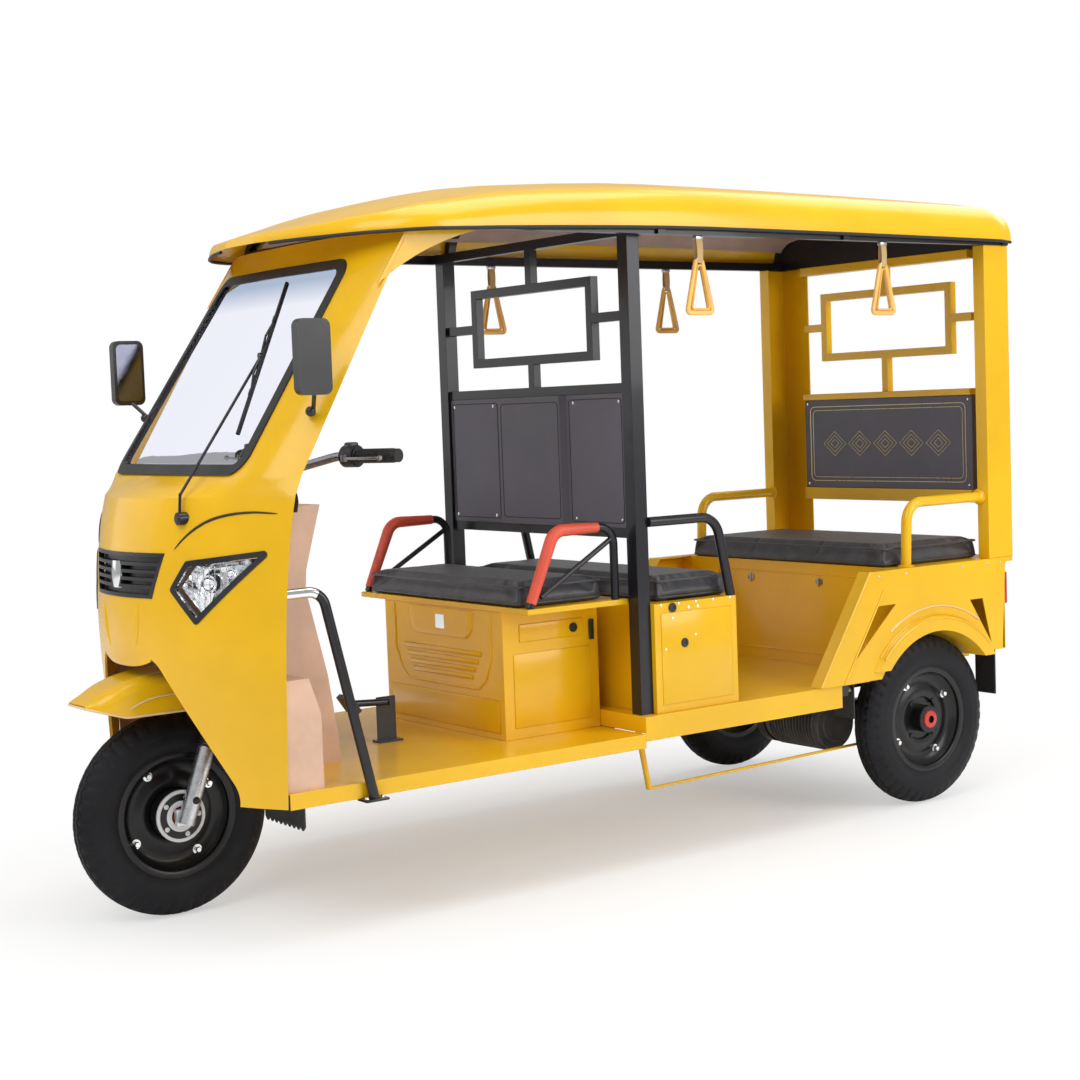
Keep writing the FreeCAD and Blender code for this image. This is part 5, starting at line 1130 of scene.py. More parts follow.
class RICKSHAW_OT_nose(bpy.types.Operator):
    """Adds the nose's grooves, lip, grille tray, bare middle plate, lamp bowls and bulbs"""

    bl_idname = "rickshaw.nose"
    bl_label = "Nose trim"

    def execute(self, context):
        self.grooves()
        self.apron()
        self.grille_back()
        self.lamps()
        self.badge()
        return {"FINISHED"}

    def styling_line(self, bm, points, lift, least, more, power, count):
        """A bar laid on the nose through points, thickest in its middle."""
        spots = curve_points([(x, z, 0) for x, z in points], 5)
        line = front_line("nose_shell", [(p.x, p.y) for p in spots], lift)
        last = len(line) - 1
        sizes = [least + more * math.sin(math.pi * i / last) ** power for i in range(last + 1)]
        add_pipe(bm, line, sizes, count)

    def grooves(self):
        """Dark lines of painted shade along the styling grooves that rise from the bonnet to the sides, and soft
        creases under the grille.
        """
        dark, creases = bmesh.new(), bmesh.new()
        for sign in SIDES:
            self.styling_line(dark, [(sign * x, z) for x, z in GROOVE], 0.0, 0.0008, 0.0026, 0.5, 8)
            self.styling_line(creases, [(sign * x, z) for x, z in CREASE], -0.002, 0.002, 0.0045, 1, 12)
        new_piece("nose_grooves", dark, "body", "black_plastic", "groove")
        new_piece("nose_creases", creases, "body", "body_paint")

    def apron(self):
        """The pressed lip that closes the front of the wheel arch down to the mudguard."""
        lip = bmesh.new()
        rows = []
        for drop in APRON_DROPS:
            turned_in = mm(1) if drop == APRON_DROPS[-1] else 0.0
            row = []
            for k in range(25):
                x = APRON_HALF * (k - 12) / 12
                upper, _ = on_front("nose_shell", x, APRON_UPPER)
                edge, _ = on_front("nose_shell", x, APRON_EDGE)
                slope = (edge.y - upper.y) / mm(APRON_UPPER - APRON_EDGE)
                fall = drop * (1 - 0.55 * (abs(x) / APRON_HALF) ** 3)
                row.append(Vector((edge.x, edge.y + mm(fall) * slope + turned_in, mm(APRON_TOP - fall))))
            rows.append(row)
        add_plate(lip, rows, -0.0035)
        new_piece("nose_apron", lip, "body", "body_paint", angle=60)

    def grille_back(self):
        """A dark tray behind the slats."""
        tray = bmesh.new()
        shares = [(k - 8) / 8 for k in range(17)]
        upper = [on_front("nose_grille", share * 182, 893)[0] for share in shares]
        lower = [on_front("nose_grille", share * 148, 793)[0] for share in shares]
        behind = Vector((0, 0.016, 0))
        rows = [[high.lerp(low, fall) + behind for high, low in zip(upper, lower)] for fall in (0, 0.5, 1)]
        add_plate(tray, rows, -0.002)
        new_piece("grille_tray", tray, "body", "black_plastic")

    def lamps(self):
        """A bright bowl, two bulbs and cross ribs behind each lens."""
        bowls, bulbs, ribs = bmesh.new(), bmesh.new(), bmesh.new()
        for sign in SIDES:
            rings = [[lamp_spot(sign, *spot, depth) for spot in self.kite(shrink)]
                     for depth, shrink in BOWL_RINGS]
            bowls.faces.new(add_rings(bowls, rings, ends=False)[-1])
            for along, height, size in BULBS:
                dome = [(out, size * share) for out, share in DOME]
                add_turned(bulbs, lamp_spot(sign, along, height, 0.034), dome, -lamp_axes(sign)[1], 28)
            for along in range(30, 215, 16):
                low = 820 - (along - 17) * 1.07 if along < 74 else 757 + (along - 74) * 0.82
                high = 822 + (along - 17) * 0.9 if along < 62 else 864 + (along - 62) * 0.115
                ends = [lamp_spot(sign, along, height, 0.019) for height in (low + 4, high - 4)]
                add_pipe(ribs, ends, 0.0011, 6)
        new_piece("lamp_bowls", bowls, "body", "lamp_glass", "reflector", angle=20)
        new_piece("lamp_bulbs", bulbs, "body", "lamp_glass", "reflector")
        new_piece("lamp_ribs", ribs, "body", "lamp_glass", "reflector")

    def kite(self, shrink):
        """Points round the lamp's outline, drawn in towards its middle."""
        middle = [sum(corner[i] for corner in LAMP_CORNERS) / 4 for i in (0, 1)]
        points = []
        for start, end in zip(LAMP_CORNERS, LAMP_CORNERS[1:] + LAMP_CORNERS[:1]):
            for k in range(6):
                spot = [a + (b - a) * k / 6 for a, b in zip(start, end)]
                points.append([m + (s - m) * shrink for m, s in zip(middle, spot)])
        return points

    def badge(self):
        """A bare bright plate in the middle of the grille."""
        bm = bmesh.new()
        centre = 843
        spot, _ = on_front("nose_grille", 0, centre)
        rows = []
        for k in range(9):
            z = centre + (k - 4) * 8.0
            half = 29 - abs(k - 4) * 1.8
            row = []
            for i in range(9):
                x = half * (i - 4) / 4
                lift = 0.004 + 0.003 * (1 - (abs(i - 4) / 4) ** 2) * (1 - (abs(k - 4) / 4) ** 2)
                row.append(Vector((mm(x), spot.y - lift + 0.0004 * abs(i - 4) ** 2, mm(z))))
            rows.append(row)
        add_plate(bm, rows, 0.004)
        new_piece("nose_badge", bm, "body", "black_plastic", "chrome")


# Front mudguard.

GUARD_TIP, GUARD_CROWN, GUARD_BACK = (-190, 542), (-30, 602), (172, 575)
GUARD_HALF, GUARD_LOW, GUARD_ROUND, GUARD_WALL = 81, 508, 30, 3
# The pressed line on each side: (back, height).
GUARD_PRESSING = ((-92, 528), (-40, 546), (40, 552), (150, 546))


class RICKSHAW_OT_mudguard(bpy.types.Operator):
    """Makes the beak-shaped mudguard with its rolled rim and pressed sides"""

    bl_idname = "rickshaw.mudguard"
    bl_label = "Front mudguard"

    def execute(self, context):
        ridge = arc_points(GUARD_TIP, GUARD_CROWN, GUARD_BACK, 32)
        start = ridge[0][0]
        skin, rim = bmesh.new(), bmesh.new()
        rows, left, right = [], [], []
        for y, top in ridge:
            share = min(1.0, (y - start) / 90)
            half = GUARD_HALF * (0.62 + 0.38 * math.sin(math.pi / 2 * share) ** 0.8)
            front_low = GUARD_TIP[1] - 6
            low = front_low - (front_low - GUARD_LOW) * share
            curve = min(GUARD_ROUND, max(2.0, top - low - 3), half * 0.6)
            section = [(half, low), (half, (low + top - curve) / 2)]
            for k in range(9):
                t = math.radians(90 * k / 8)
                section.append((half - curve + curve * math.cos(t), top - curve + curve * math.sin(t)))
            flat = half - curve
            section += [(flat * 0.5, top + 0.6), (0, top + 0.8), (-flat * 0.5, top + 0.6)]
            section += [(-x, z) for x, z in reversed(section[:11])]
            rows.append([at(x, y, z) for x, z in section])
            left.append(rows[-1][0])
            right.append(rows[-1][-1])
        add_plate(skin, rows, mm(-GUARD_WALL))
        for line in (left, right, [left[0], right[0]]):
            add_pipe(rim, line, 0.0030, 10)
        for sign in SIDES:
            pressing = [at(sign * (GUARD_HALF + 0.4), y, z) for y, z in GUARD_PRESSING]
            add_pipe(rim, curve_points(pressing, 6), 0.0022, 8)
        new_piece("mudguard_skin", skin, "steering", "body_paint", angle=60, node="front_mudguard")
        # The rim and the pressed lines take the pale paint: a painted highlight on the rolled edges.
        new_piece("mudguard_rim", rim, "steering", "body_paint", "highlight_paint")
        return {"FINISHED"}


# Windscreen, mirrors and handlebar.

WIPER_PIVOT = (234, -14, 976)
WIPER_HEAD = (177, 245, 1348)
BLADE = ((259, 131, 1165), (108, 362, 1528))
PIVOT_CAP = [(0, 0.010), (0.003, 0.013), (0.004, 0.013)]


class RICKSHAW_OT_screen(bpy.types.Operator):
    """Adds the wiper's knuckle, yokes, pivot cap and rubber"""

    bl_idname = "rickshaw.screen"
    bl_label = "Windscreen trim"

    def execute(self, context):
        metal, rubber = bmesh.new(), bmesh.new()
        low, high = at(*BLADE[0]), at(*BLADE[1])
        along = (high - low).normalized()
        middle = at(*WIPER_HEAD)
        nearest = low + along * (middle - low).dot(along)
        add_turned(metal, middle - Vector((0, 0.006, 0)), [(0, 0.008), (0.012, 0.008)], (0, 1, 0), 20)
        for way in (-1, 1):
            reach = nearest + along * way * 0.11
            add_pipe(metal, [middle, (middle + reach) / 2 + Vector((0, -0.006, 0.004)), reach], 0.003, 8)
            add_turned(metal, reach - along * 0.008, [(0, 0.006), (0.016, 0.006)], along, 12)
        add_pipe(rubber, [low + Vector((0, 0.004, -0.002)), high + Vector((0, 0.004, -0.002))], 0.0022, 8)
        add_turned(metal, at(*WIPER_PIVOT) - Vector((0, 0.009, 0)), PIVOT_CAP, (0, 1, 0), 24)
        new_piece("wiper_yokes", metal, "body", "black_paint")
        new_piece("wiper_rubber", rubber, "body", "rubber")
        return {"FINISHED"}


# The mirror glasses: how far out they lie, their corners (back, height), and the ball joints' places.
MIRROR_FACE, MIRROR_LOW, MIRROR_HIGH = 488, (167, 1258), (237, 1408)
MIRROR_BALLS = (((499, 204, 1256), 0.010), ((446, 222, 1211), 0.012))


def add_ball(bm, centre, radius):
    """A ball."""
    place = Matrix.Translation(centre)
    bmesh.ops.create_uvsphere(bm, u_segments=16, v_segments=10, radius=radius, matrix=place)


class RICKSHAW_OT_mirrors(bpy.types.Operator):
    """Adds the silvered glasses on the inner faces of the folded mirrors, and their ball joints"""

    bl_idname = "rickshaw.mirrors"
    bl_label = "Mirrors"

    def execute(self, context):
        glasses, joints = bmesh.new(), bmesh.new()
        low, high = (Vector((at(0, y, 0).y, mm(z), 0)) for y, z in (MIRROR_LOW, MIRROR_HIGH))
        for sign in SIDES:
            ring = [Vector((sign * mm(MIRROR_FACE), p.x, p.y)) for p in rounded_loop(low, high, 0, 0.013)]
            add_rings(glasses, [ring, [p - Vector((sign * 0.0012, 0, 0)) for p in ring]])
            for (x, y, z), radius in MIRROR_BALLS:
                add_ball(joints, at(sign * x, y, z), radius)
        new_piece("mirror_glasses", glasses, "body", "black_plastic", "mirror_silver")
        new_piece("mirror_joints", joints, "body", "black_plastic")
        return {"FINISHED"}


# The handlebar's bent tube, from its middle to the left end.
STEER_FOOT = (42, 248)
BAR_HEIGHT, BAR_HALF, BAR_RISE, BAR_SWEEP, BAR_ELBOW = 1052, 400, 48, 141, 215
GRIP_LENGTH, SWITCH_LENGTH = 126, 38
RAKE = math.radians(20)
GRIP_RIB = [(0, 0.0163), (0.0008, 0.0177), (0.0022, 0.0177), (0.003, 0.0163)]
GRIP_COLLAR = [(0, 0.0166), (0.001, 0.0225), (0.004, 0.0225), (0.0055, 0.0166)]
# The brake lever's line from its root: (out, ahead) in metres.
LEVER = ((0, 0), (0.030, 0.016), (0.080, 0.020), (0.128, 0.014))


class RICKSHAW_OT_handlebar(bpy.types.Operator):
    """Adds the grips' ribs, the switch pods, the brake levers and the clamp's bolts"""

    bl_idname = "rickshaw.handlebar"
    bl_label = "Handlebar"

    def execute(self, context):
        ribs, pods, levers = bmesh.new(), bmesh.new(), bmesh.new()
        centre_y = STEER_FOOT[0] + math.tan(RAKE) * (BAR_HEIGHT - STEER_FOOT[1])
        for sign in SIDES:
            end = at(sign * BAR_HALF, centre_y + BAR_SWEEP, BAR_HEIGHT + BAR_RISE)
            elbow = at(sign * BAR_ELBOW, centre_y + BAR_SWEEP * 0.6, BAR_HEIGHT + BAR_RISE)
            out = (end - elbow).normalized()
            base = end - out * mm(GRIP_LENGTH)
            for k in range(22):
                add_turned(ribs, base + out * mm(8 + k * 5), GRIP_RIB, out, 24)
            add_turned(ribs, base, GRIP_COLLAR, out, 28)
            pod = base - out * mm(SWITCH_LENGTH * 0.5)
            ahead = Vector((0, 0, 1)).cross(out).normalized() * sign
            if ahead.y > 0:
                ahead = -ahead
            add_block(pods, pod - Vector((0.012, 0.015, 0.010)), pod + Vector((0.012, 0.015, 0.034)), 0.005)
            for height in (0.008, 0.018):
                button = pod + Vector((0, 0.0155, height))
                add_turned(pods, button, [(0, 0.0042), (0.003, 0.0042)], (0, 1, 0), 14)
            root = pod + ahead * 0.028 + Vector((0, 0, -0.004))
            line = curve_points([root + out * along + ahead * bow for along, bow in LEVER], 5)
            add_pipe(levers, line, [0.0052] * (len(line) - 1) + [0.0062], 10, 0.7)
            add_ball(levers, line[-1], 0.0068)
            add_turned(levers, root - Vector((0, 0, 0.008)), [(0, 0.009), (0.016, 0.009)], (0, 0, 1), 20)
        clamp = at(0, centre_y, BAR_HEIGHT + 26)
        for x in (-0.022, 0.022):
            for y in (-0.012, 0.012):
                add_bolt(levers, clamp + Vector((x, y, 0)), (0, 0, 1), 0.0048, 0.005)
        new_piece("grip_ribs", ribs, "steering", "rubber")
        new_piece("switch_pods", pods, "steering", "black_plastic")
        new_piece("brake_levers", levers, "steering", "hinge_steel", "dark_steel")
        return {"FINISHED"}


# Tubes beside the seats, in place of the mitred ones: (across, back, height) of each corner, the tube's radius
# and the radius of its bends.
RAILS = {
    "driver_armrests": (((391, 853, 697.3), (391, 937, 888), (391, 1128, 888), (391, 1128, 697.3)), 11, 46),
    "middle_rails": (((446, 1200.5, 895), (446, 1433, 895), (446, 1479, 681.3)), 13, 60),
    "rear_armrails": (((448, 2483.5, 888), (448, 2168, 888), (448, 2160, 703.3)), 15, 60),
    "floor_rails": (((434, 116, 798), (460, 222, 802), (489, 321, 313)), 12, 40),
}
# The brace and the sleeve's line of the driver's armrests, the bright upper end of the floor rails, and the
# flanges of the rear tubes: (along, radius) in metres.
ARM_BRACE = ((391, 889, 723), (391, 1122, 857))
SLEEVE = ((391, 858, 709), (391, 937, 888), (391, 1075, 888))
BRIGHT_END = ((434, 117, 798), (460, 222, 802), (463.5, 234, 742))
POST_FLANGE = [(0, 0.024), (0.003, 0.024), (0.006, 0.019), (0.014, 0.0165)]
SEAT_FLANGE = [(0, 0.024), (0.003, 0.024), (0.006, 0.0175)]


def on_side(sign, points):
    """Points in millimetres, given for the left, taken to one side of the vehicle."""
    return [at(sign * x, y, z) for x, y, z in points]


class RICKSHAW_OT_rails(bpy.types.Operator):
    """Makes the round-bent tubes beside the seats and the doors, with their sleeves, braces and feet"""

    bl_idname = "rickshaw.rails"
    bl_label = "Rails"

    def execute(self, context):
        slots = {part["node"]: part["material_slot"] for part in frame["record"]["subparts"]}
        for node, (corners, radius, bend) in RAILS.items():
            tubes = bmesh.new()
            for sign in SIDES:
                line = bent_line(on_side(sign, corners), mm(bend), 10)
                add_pipe(tubes, line, mm(radius), 24)
                if node == "driver_armrests":
                    add_pipe(tubes, on_side(sign, ARM_BRACE), mm(7), 14)
                if node == "floor_rails":
                    add_block(tubes, at(sign * 484 - 22, 290, 307), at(sign * 484 + 22, 352, 313), 0.0015)
            new_piece(f"{node}_bent", tubes, "body", slots[node], node=node)
        self.sleeves()
        self.rings()
        return {"FINISHED"}

    def sleeves(self):
        """Red sleeves on the front legs and upper corners of the driver's armrests."""
        pads = bmesh.new()
        for sign in SIDES:
            line = bent_line(on_side(sign, SLEEVE), 0.046, 12)
            sizes = [0.0135] + [0.0158] * (len(line) - 2) + [0.0132]
            add_pipe(pads, line, sizes, 24)
        new_piece("armrest_sleeves", pads, "body", "black_paint", "red_pad")

    def rings(self):
        """Flanges where the rear tubes meet posts and bench, the bright ends of the floor rails and their bolts."""
        rings, bright = bmesh.new(), bmesh.new()
        for sign in SIDES:
            add_turned(rings, at(sign * 448, 2483.5, 888), POST_FLANGE, (0, -1, 0), 28)
            add_turned(rings, at(sign * 448, 2160, 703.3), SEAT_FLANGE, (0, 0, 1), 28)
            add_pipe(bright, bent_line(on_side(sign, BRIGHT_END), 0.040, 10)[:6], mm(12.4), 24)
            for y in (300, 342):
                add_bolt(bright, at(sign * 489, y, 313), (0, 0, 1), 0.0045, 0.005)
        new_piece("armrail_rings", rings, "body", "body_paint")
        new_piece("grab_rail_ends", bright, "body", "hinge_steel", "chrome")


# Seat boxes and backrests.


def corners_of(x0, x1, y0, y1, z0, z1):
    """The lowest and the highest corner of a block given in millimetres."""
    return at(min(x0, x1), y0, z0), at(max(x0, x1), y1, z1)


# The front of the driver's box and of the rear bench, and the outlines pressed there: (across, height).
BOX_FACE, BENCH_FACE = 841, 2103
TAB_TOP = 676
TAB = ((-150, 676), (-150, 640), (-140, 618), (-118, 604), (118, 604), (140, 618), (150, 640), (150, 676))
BOX_RIDGE = (
    (-232, 676), (-232, 560), (-205, 500), (-170, 474), (170, 474), (205, 500), (232, 560), (232, 676))
BENCH_RIDGE = ((-300, 430), (300, 430), (300, 670), (-300, 670), (-300, 430))
# The slots under the tab: (half width, height).
LOUVRES = ((186, 566), (172, 545), (158, 524), (144, 503))
# Raised panels on the sides: (inner, outer, front, back, low, high) and their edges' rounding in metres.
SIDE_PANELS = (
    ((283.6, 286.6, 893, 1100, 600, 646), 0.0024),
    ((283.6, 286.0, 872, 1120, 378, 570), 0.0020),
    ((459.6, 461.8, 1222, 1466, 415, 655), 0.0018),
)
LOCK_BARREL = [(0, 0.0125), (0.003, 0.0125), (0.0042, 0.0112), (0.0042, 0.0058), (0.0026, 0.0052)]
LOCKS = ((286.6, 1066, 623), (460, 1262, 668), (460, 1300, 572))
SCREWS = ((1262, 640), (1318, 664), (1350, 664), (1340, 590), (1236, 560))


class RICKSHAW_OT_boxes(bpy.types.Operator):
    """Adds the pressed panels, locks, latches and rivets of the seat boxes"""

    bl_idname = "rickshaw.boxes"
    bl_label = "Seat boxes"

    def execute(self, context):
        self.pressings()
        self.locks()
        self.bench()
        return {"FINISHED"}

    def pressings(self):
        """Pressed panels and slots on the driver's box, raised panels on the middle one, and a bare plate."""
        pressed = bmesh.new()
        rings = [[at(x * share, BOX_FACE - lift, TAB_TOP + (z - TAB_TOP) * share) for x, z in TAB]
                 for lift, share in ((-0.4, 1.02), (3.2, 1.0), (4.4, 0.96), (4.4, 0.80))]
        add_rings(pressed, rings)
        add_pipe(pressed, [at(x, BOX_FACE, z) for x, z in BOX_RIDGE], 0.0034, 10)
        front = BOX_FACE + 0.4
        for half, z in LOUVRES:
            add_block(pressed, *corners_of(-half, half, BOX_FACE - 3.2, front, z - 6, z + 6), 0.0026)
        add_block(pressed, *corners_of(-262, 262, BOX_FACE - 2.6, front, 366, 452), 0.0024)
        for sign in SIDES:
            for (inner, outer, *rest), edge in SIDE_PANELS:
                add_block(pressed, *corners_of(sign * inner, sign * outer, *rest), edge)
        new_piece("box_pressings", pressed, "body", "body_paint")
        plate = bmesh.new()
        add_block(plate, *corners_of(-21, 21, BOX_FACE - 5.2, BOX_FACE - 4.2, 622, 660), 0.0004, 1)
        new_piece("bare_plate", plate, "body", "hinge_steel", "reflector")

    def locks(self):
        """Round locks and oval latches on the sides, with small screws."""
        locks, screws = bmesh.new(), bmesh.new()
        for sign in SIDES:
            out = (sign, 0, 0)
            for spot in on_side(sign, LOCKS):
                add_turned(locks, spot, LOCK_BARREL, out, 28)
            add_block(locks, *corners_of(sign * 283.8, sign * 290, 1118, 1134, 585, 640), 0.003)
            for y, z in SCREWS:
                add_turned(screws, at(sign * 460, y, z), SHEET_SCREW, out, 14)
            for k in range(5):
                add_turned(screws, at(sign * 460, 1224 + 60 * k, 677), RIVET, out, 12)
        new_piece("box_locks", locks, "body", "black_plastic")
        new_piece("box_screws", screws, "body", "hinge_steel", "chrome")

    def bench(self):
        """Latch marks and a pressed frame on the rear bench's front."""
        marks, ridge = bmesh.new(), bmesh.new()
        face = BENCH_FACE
        for x in (-150, 150):
            add_block(marks, *corners_of(x - 14, x + 14, face - 2.4, face + 0.4, 640, 656), 0.0012)
            add_block(marks, *corners_of(x - 4, x + 4, face - 4.2, face - 2, 634, 660), 0.001)
        add_pipe(ridge, [at(x, BENCH_FACE, z) for x, z in BENCH_RIDGE], 0.0024, 10)
        new_piece("bench_latches", marks, "body", "hinge_steel", "dark_steel")
        new_piece("bench_ridge", ridge, "body", "body_paint")


def flat_loop(half, low, high, y, radius):
    """An upright rectangle with round corners, facing the front."""
    corners = (Vector((mm(x), mm(z), 0)) for x, z in ((-half, low), (half, high)))
    return [Vector((p.x, at(0, y, 0).y, p.y)) for p in rounded_loop(*corners, 0, mm(radius), 5)]


def add_front_line(bm, loop, radius):
    """A thin round line along a closed ring in a plane that faces the front."""
    add_closed_bar(bm, loop, (0, 1, 0), radius, radius, 6)


# The middle panel's plain and raised faces and the rear panel's face, then the screws and the diamonds.
PLAIN_FACE, RAISED_FACE, REAR_FACE = 1168, 1155, 2560
PANEL_SCREWS = tuple((x, PLAIN_FACE, z) for x, z in ((188, 900), (384, 900), (188, 1210), (384, 1210)))
REAR_SCREWS = ((346, REAR_FACE, 916), (346, REAR_FACE, 1180))
DIAMOND_STEP, DIAMOND_HEIGHT, DIAMONDS = 112, 1048, (0.050, 0.034, 0.018)
DIAMOND_CORNERS = ((0, -0.8), (1, 0), (0, 0.8), (-1, 0))


class RICKSHAW_OT_backrests(bpy.types.Operator):
    """Adds the seams, screws and lines of the two backrest panels"""

    bl_idname = "rickshaw.backrests"
    bl_label = "Backrests"

    def execute(self, context):
        seams, screws, lines = bmesh.new(), bmesh.new(), bmesh.new()
        add_front_line(seams, flat_loop(133, 898, 1214, RAISED_FACE, 12), 0.0011)
        for sign in SIDES:
            panel = flat_loop(112, 892, 1218, PLAIN_FACE, 10)
            add_front_line(seams, [p + Vector((sign * mm(280), 0, 0)) for p in panel], 0.0012)
            for spot in on_side(sign, PANEL_SCREWS + REAR_SCREWS):
                add_turned(screws, spot, PANEL_SCREW, (0, -1, 0), 14)
        add_front_line(lines, flat_loop(334, 926, 1170, REAR_FACE, 18), 0.0012)
        add_front_line(lines, flat_loop(322, 938, 1158, REAR_FACE, 14), 0.0008)
        for k in range(-2, 3):
            middle = at(k * DIAMOND_STEP, REAR_FACE, DIAMOND_HEIGHT)
            for size in DIAMONDS:
                corners = [middle + Vector((x * size, 0, z * size)) for x, z in DIAMOND_CORNERS]
                add_front_line(lines, corners, 0.0009)
        # The seams are dark lines of painted shade round the panels' outlines.
        new_piece("backrest_seams", seams, "body", "backrest_board", "groove")
        new_piece("backrest_screws", screws, "body", "hinge_steel", "chrome")
        new_piece("backrest_lines", lines, "body", "backrest_board", "gold_line")
        return {"FINISHED"}


# Hand straps.

STRAP_X, STRAP_TOP, STRAP_LENGTH, HANDLE_HEIGHT, HANDLE_WIDTH = 473.5, 1632, 66, 140, 88
STRAP_PLACES = (1378, 2065)


class RICKSHAW_OT_straps(bpy.types.Operator):
    """Makes the hanging straps with their three-sided handles"""

    bl_idname = "rickshaw.straps"
    bl_label = "Hand straps"

    def execute(self, context):
        bands, handles, clips = bmesh.new(), bmesh.new(), bmesh.new()
        for sign in SIDES:
            for place in STRAP_PLACES:
                self.strap(bands, handles, clips, sign * STRAP_X, place)
        new_piece("strap_bands", bands, "body", "strap_webbing", node="hand_straps")
        new_piece("strap_handles", handles, "body", "strap_webbing", "strap_handle")
        new_piece("strap_clips", clips, "body", "hinge_steel")
        return {"FINISHED"}

    def strap(self, bands, handles, clips, x, place):
        """Two plies of webbing from the rail, their clips, and the handle with its rim."""
        low = STRAP_TOP - STRAP_LENGTH
        for side in (-1, 1):
            rows = []
            for k in range(9):
                share = k / 8
                z = STRAP_TOP - (STRAP_LENGTH + 4) * share
                bow = x + side * (1.4 + 4.2 * math.sin(math.pi * share) + 3.4 * share ** 3)
                rows.append([at(bow, place + (i - 2) * 5.5 * (1 - 0.16 * share), z) for i in range(5)])
            add_plate(bands, rows, 0.0016)
        base = low - HANDLE_HEIGHT + 7
        wide = HANDLE_WIDTH / 2
        corners = [(10, low + 3), (wide, base), (-wide, base), (-10, low + 3)]
        inner = [(7, low - 10), (wide - 14, base + 9), (14 - wide, base + 9), (-7, low - 10)]
        for points, radius, thick, deep in ((corners, 0.008, 0.0068, 0.0058), (inner, 0.006, 0.003, 0.0074)):
            loop = rounded_corners([at(x, place + y, z) for y, z in points], radius)
            add_closed_bar(handles, loop, (1, 0, 0), thick, deep, 10)
        add_block(clips, at(x - 6, place - 12, low - 1), at(x + 6, place + 12, low + 9), 0.002)
        add_block(clips, at(x - 7, place - 13, STRAP_TOP - 10), at(x + 7, place + 13, STRAP_TOP), 0.002)


# Rear body and running gear.

REAR_AXLE, WHEEL_HIGH = 2238, 248
# Beads over the wheel: (across, radius, thickness in metres). Beads down the side sheets: (ends, thickness).
ARCH_BEADS = ((498, 302, 0.0034), (485, 311, 0.0028))
SHEET_BEADS = ((((485, 1771, 397), (485, 1973, 703)), 0.0034), (((485, 1863, 397), (485, 2030, 650)), 0.0026))


class RICKSHAW_OT_rear_body(bpy.types.Operator):
    """Adds the wheel arches' beads and strips, the lamps' panes and rims, and the flaps' and sheets' screws"""

    bl_idname = "rickshaw.rear_body"
    bl_label = "Rear body"

    def execute(self, context):
        beads, strips = bmesh.new(), bmesh.new()
        for sign in SIDES:
            for x, radius, size in ARCH_BEADS:
                add_pipe(beads, self.arch(sign * x, radius, 42), size, 10)
            # The flat strips over the arches take the pale paint: a painted highlight along each arch's lip.
            add_pipe(strips, self.arch(sign * 484, 336, 56), 0.0045, 12, 0.6)
            for ends, size in SHEET_BEADS:
                add_pipe(beads, on_side(sign, ends), size, 10)
        new_piece("arch_beads", beads, "body", "body_paint")
        new_piece("arch_highlight_strips", strips, "body", "body_paint", "highlight_paint")
        self.lamps()
        self.bolts()
        return {"FINISHED"}

    def arch(self, x, radius, low):
        """Points over the wheel from one angle above level to its mirror image."""
        turns = [math.radians(low + (180 - 2 * low) * k / 28) for k in range(29)]
        return [at(x, REAR_AXLE + radius * math.cos(t), WHEEL_HIGH + radius * math.sin(t)) for t in turns]

    def lamps(self):
        """Amber and clear panes and a rim on each tail lamp."""
        amber, clear, rims = bmesh.new(), bmesh.new(), bmesh.new()
        low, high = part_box("tail_lamps")
        back = high.y
        for sign in SIDES:
            x0, x1 = sign * mm(420) - 0.040, sign * mm(420) + 0.040
            add_block(amber, (x0, back - 0.001, low.z + 0.006), (x1, back + 0.003, low.z + 0.030), 0.0015)
            add_block(clear, (x0, back - 0.001, low.z + 0.034), (x1, back + 0.0025, low.z + 0.048), 0.0015)
            foot = (x0 - 0.006, back - 0.030, low.z - 0.001)
            add_block(rims, foot, (x1 + 0.006, back - 0.024, high.z + 0.001), 0.002)
        new_piece("indicator_panes", amber, "body", "lamp_red", "amber_lens")
        new_piece("reversing_panes", clear, "body", "lamp_glass", "reflector")
        new_piece("tail_lamp_rims", rims, "body", "black_plastic")

    def bolts(self):
        """Screws through the flaps and the side sheets."""
        screws = bmesh.new()
        for sign in SIDES:
            for x in (395, 441):
                add_bolt(screws, at(sign * x, 1924, 372), (0, -1, 0), 0.005, 0.004)
                add_bolt(screws, at(sign * x, 2533, 424), (0, 1, 0), 0.005, 0.004)
            for y in (2010, 2120, 2360, 2470, 2530):
                add_turned(screws, at(sign * 484, y, 688), SHEET_SCREW, (sign, 0, 0), 14)
        new_piece("body_screws", screws, "body", "hinge_steel")


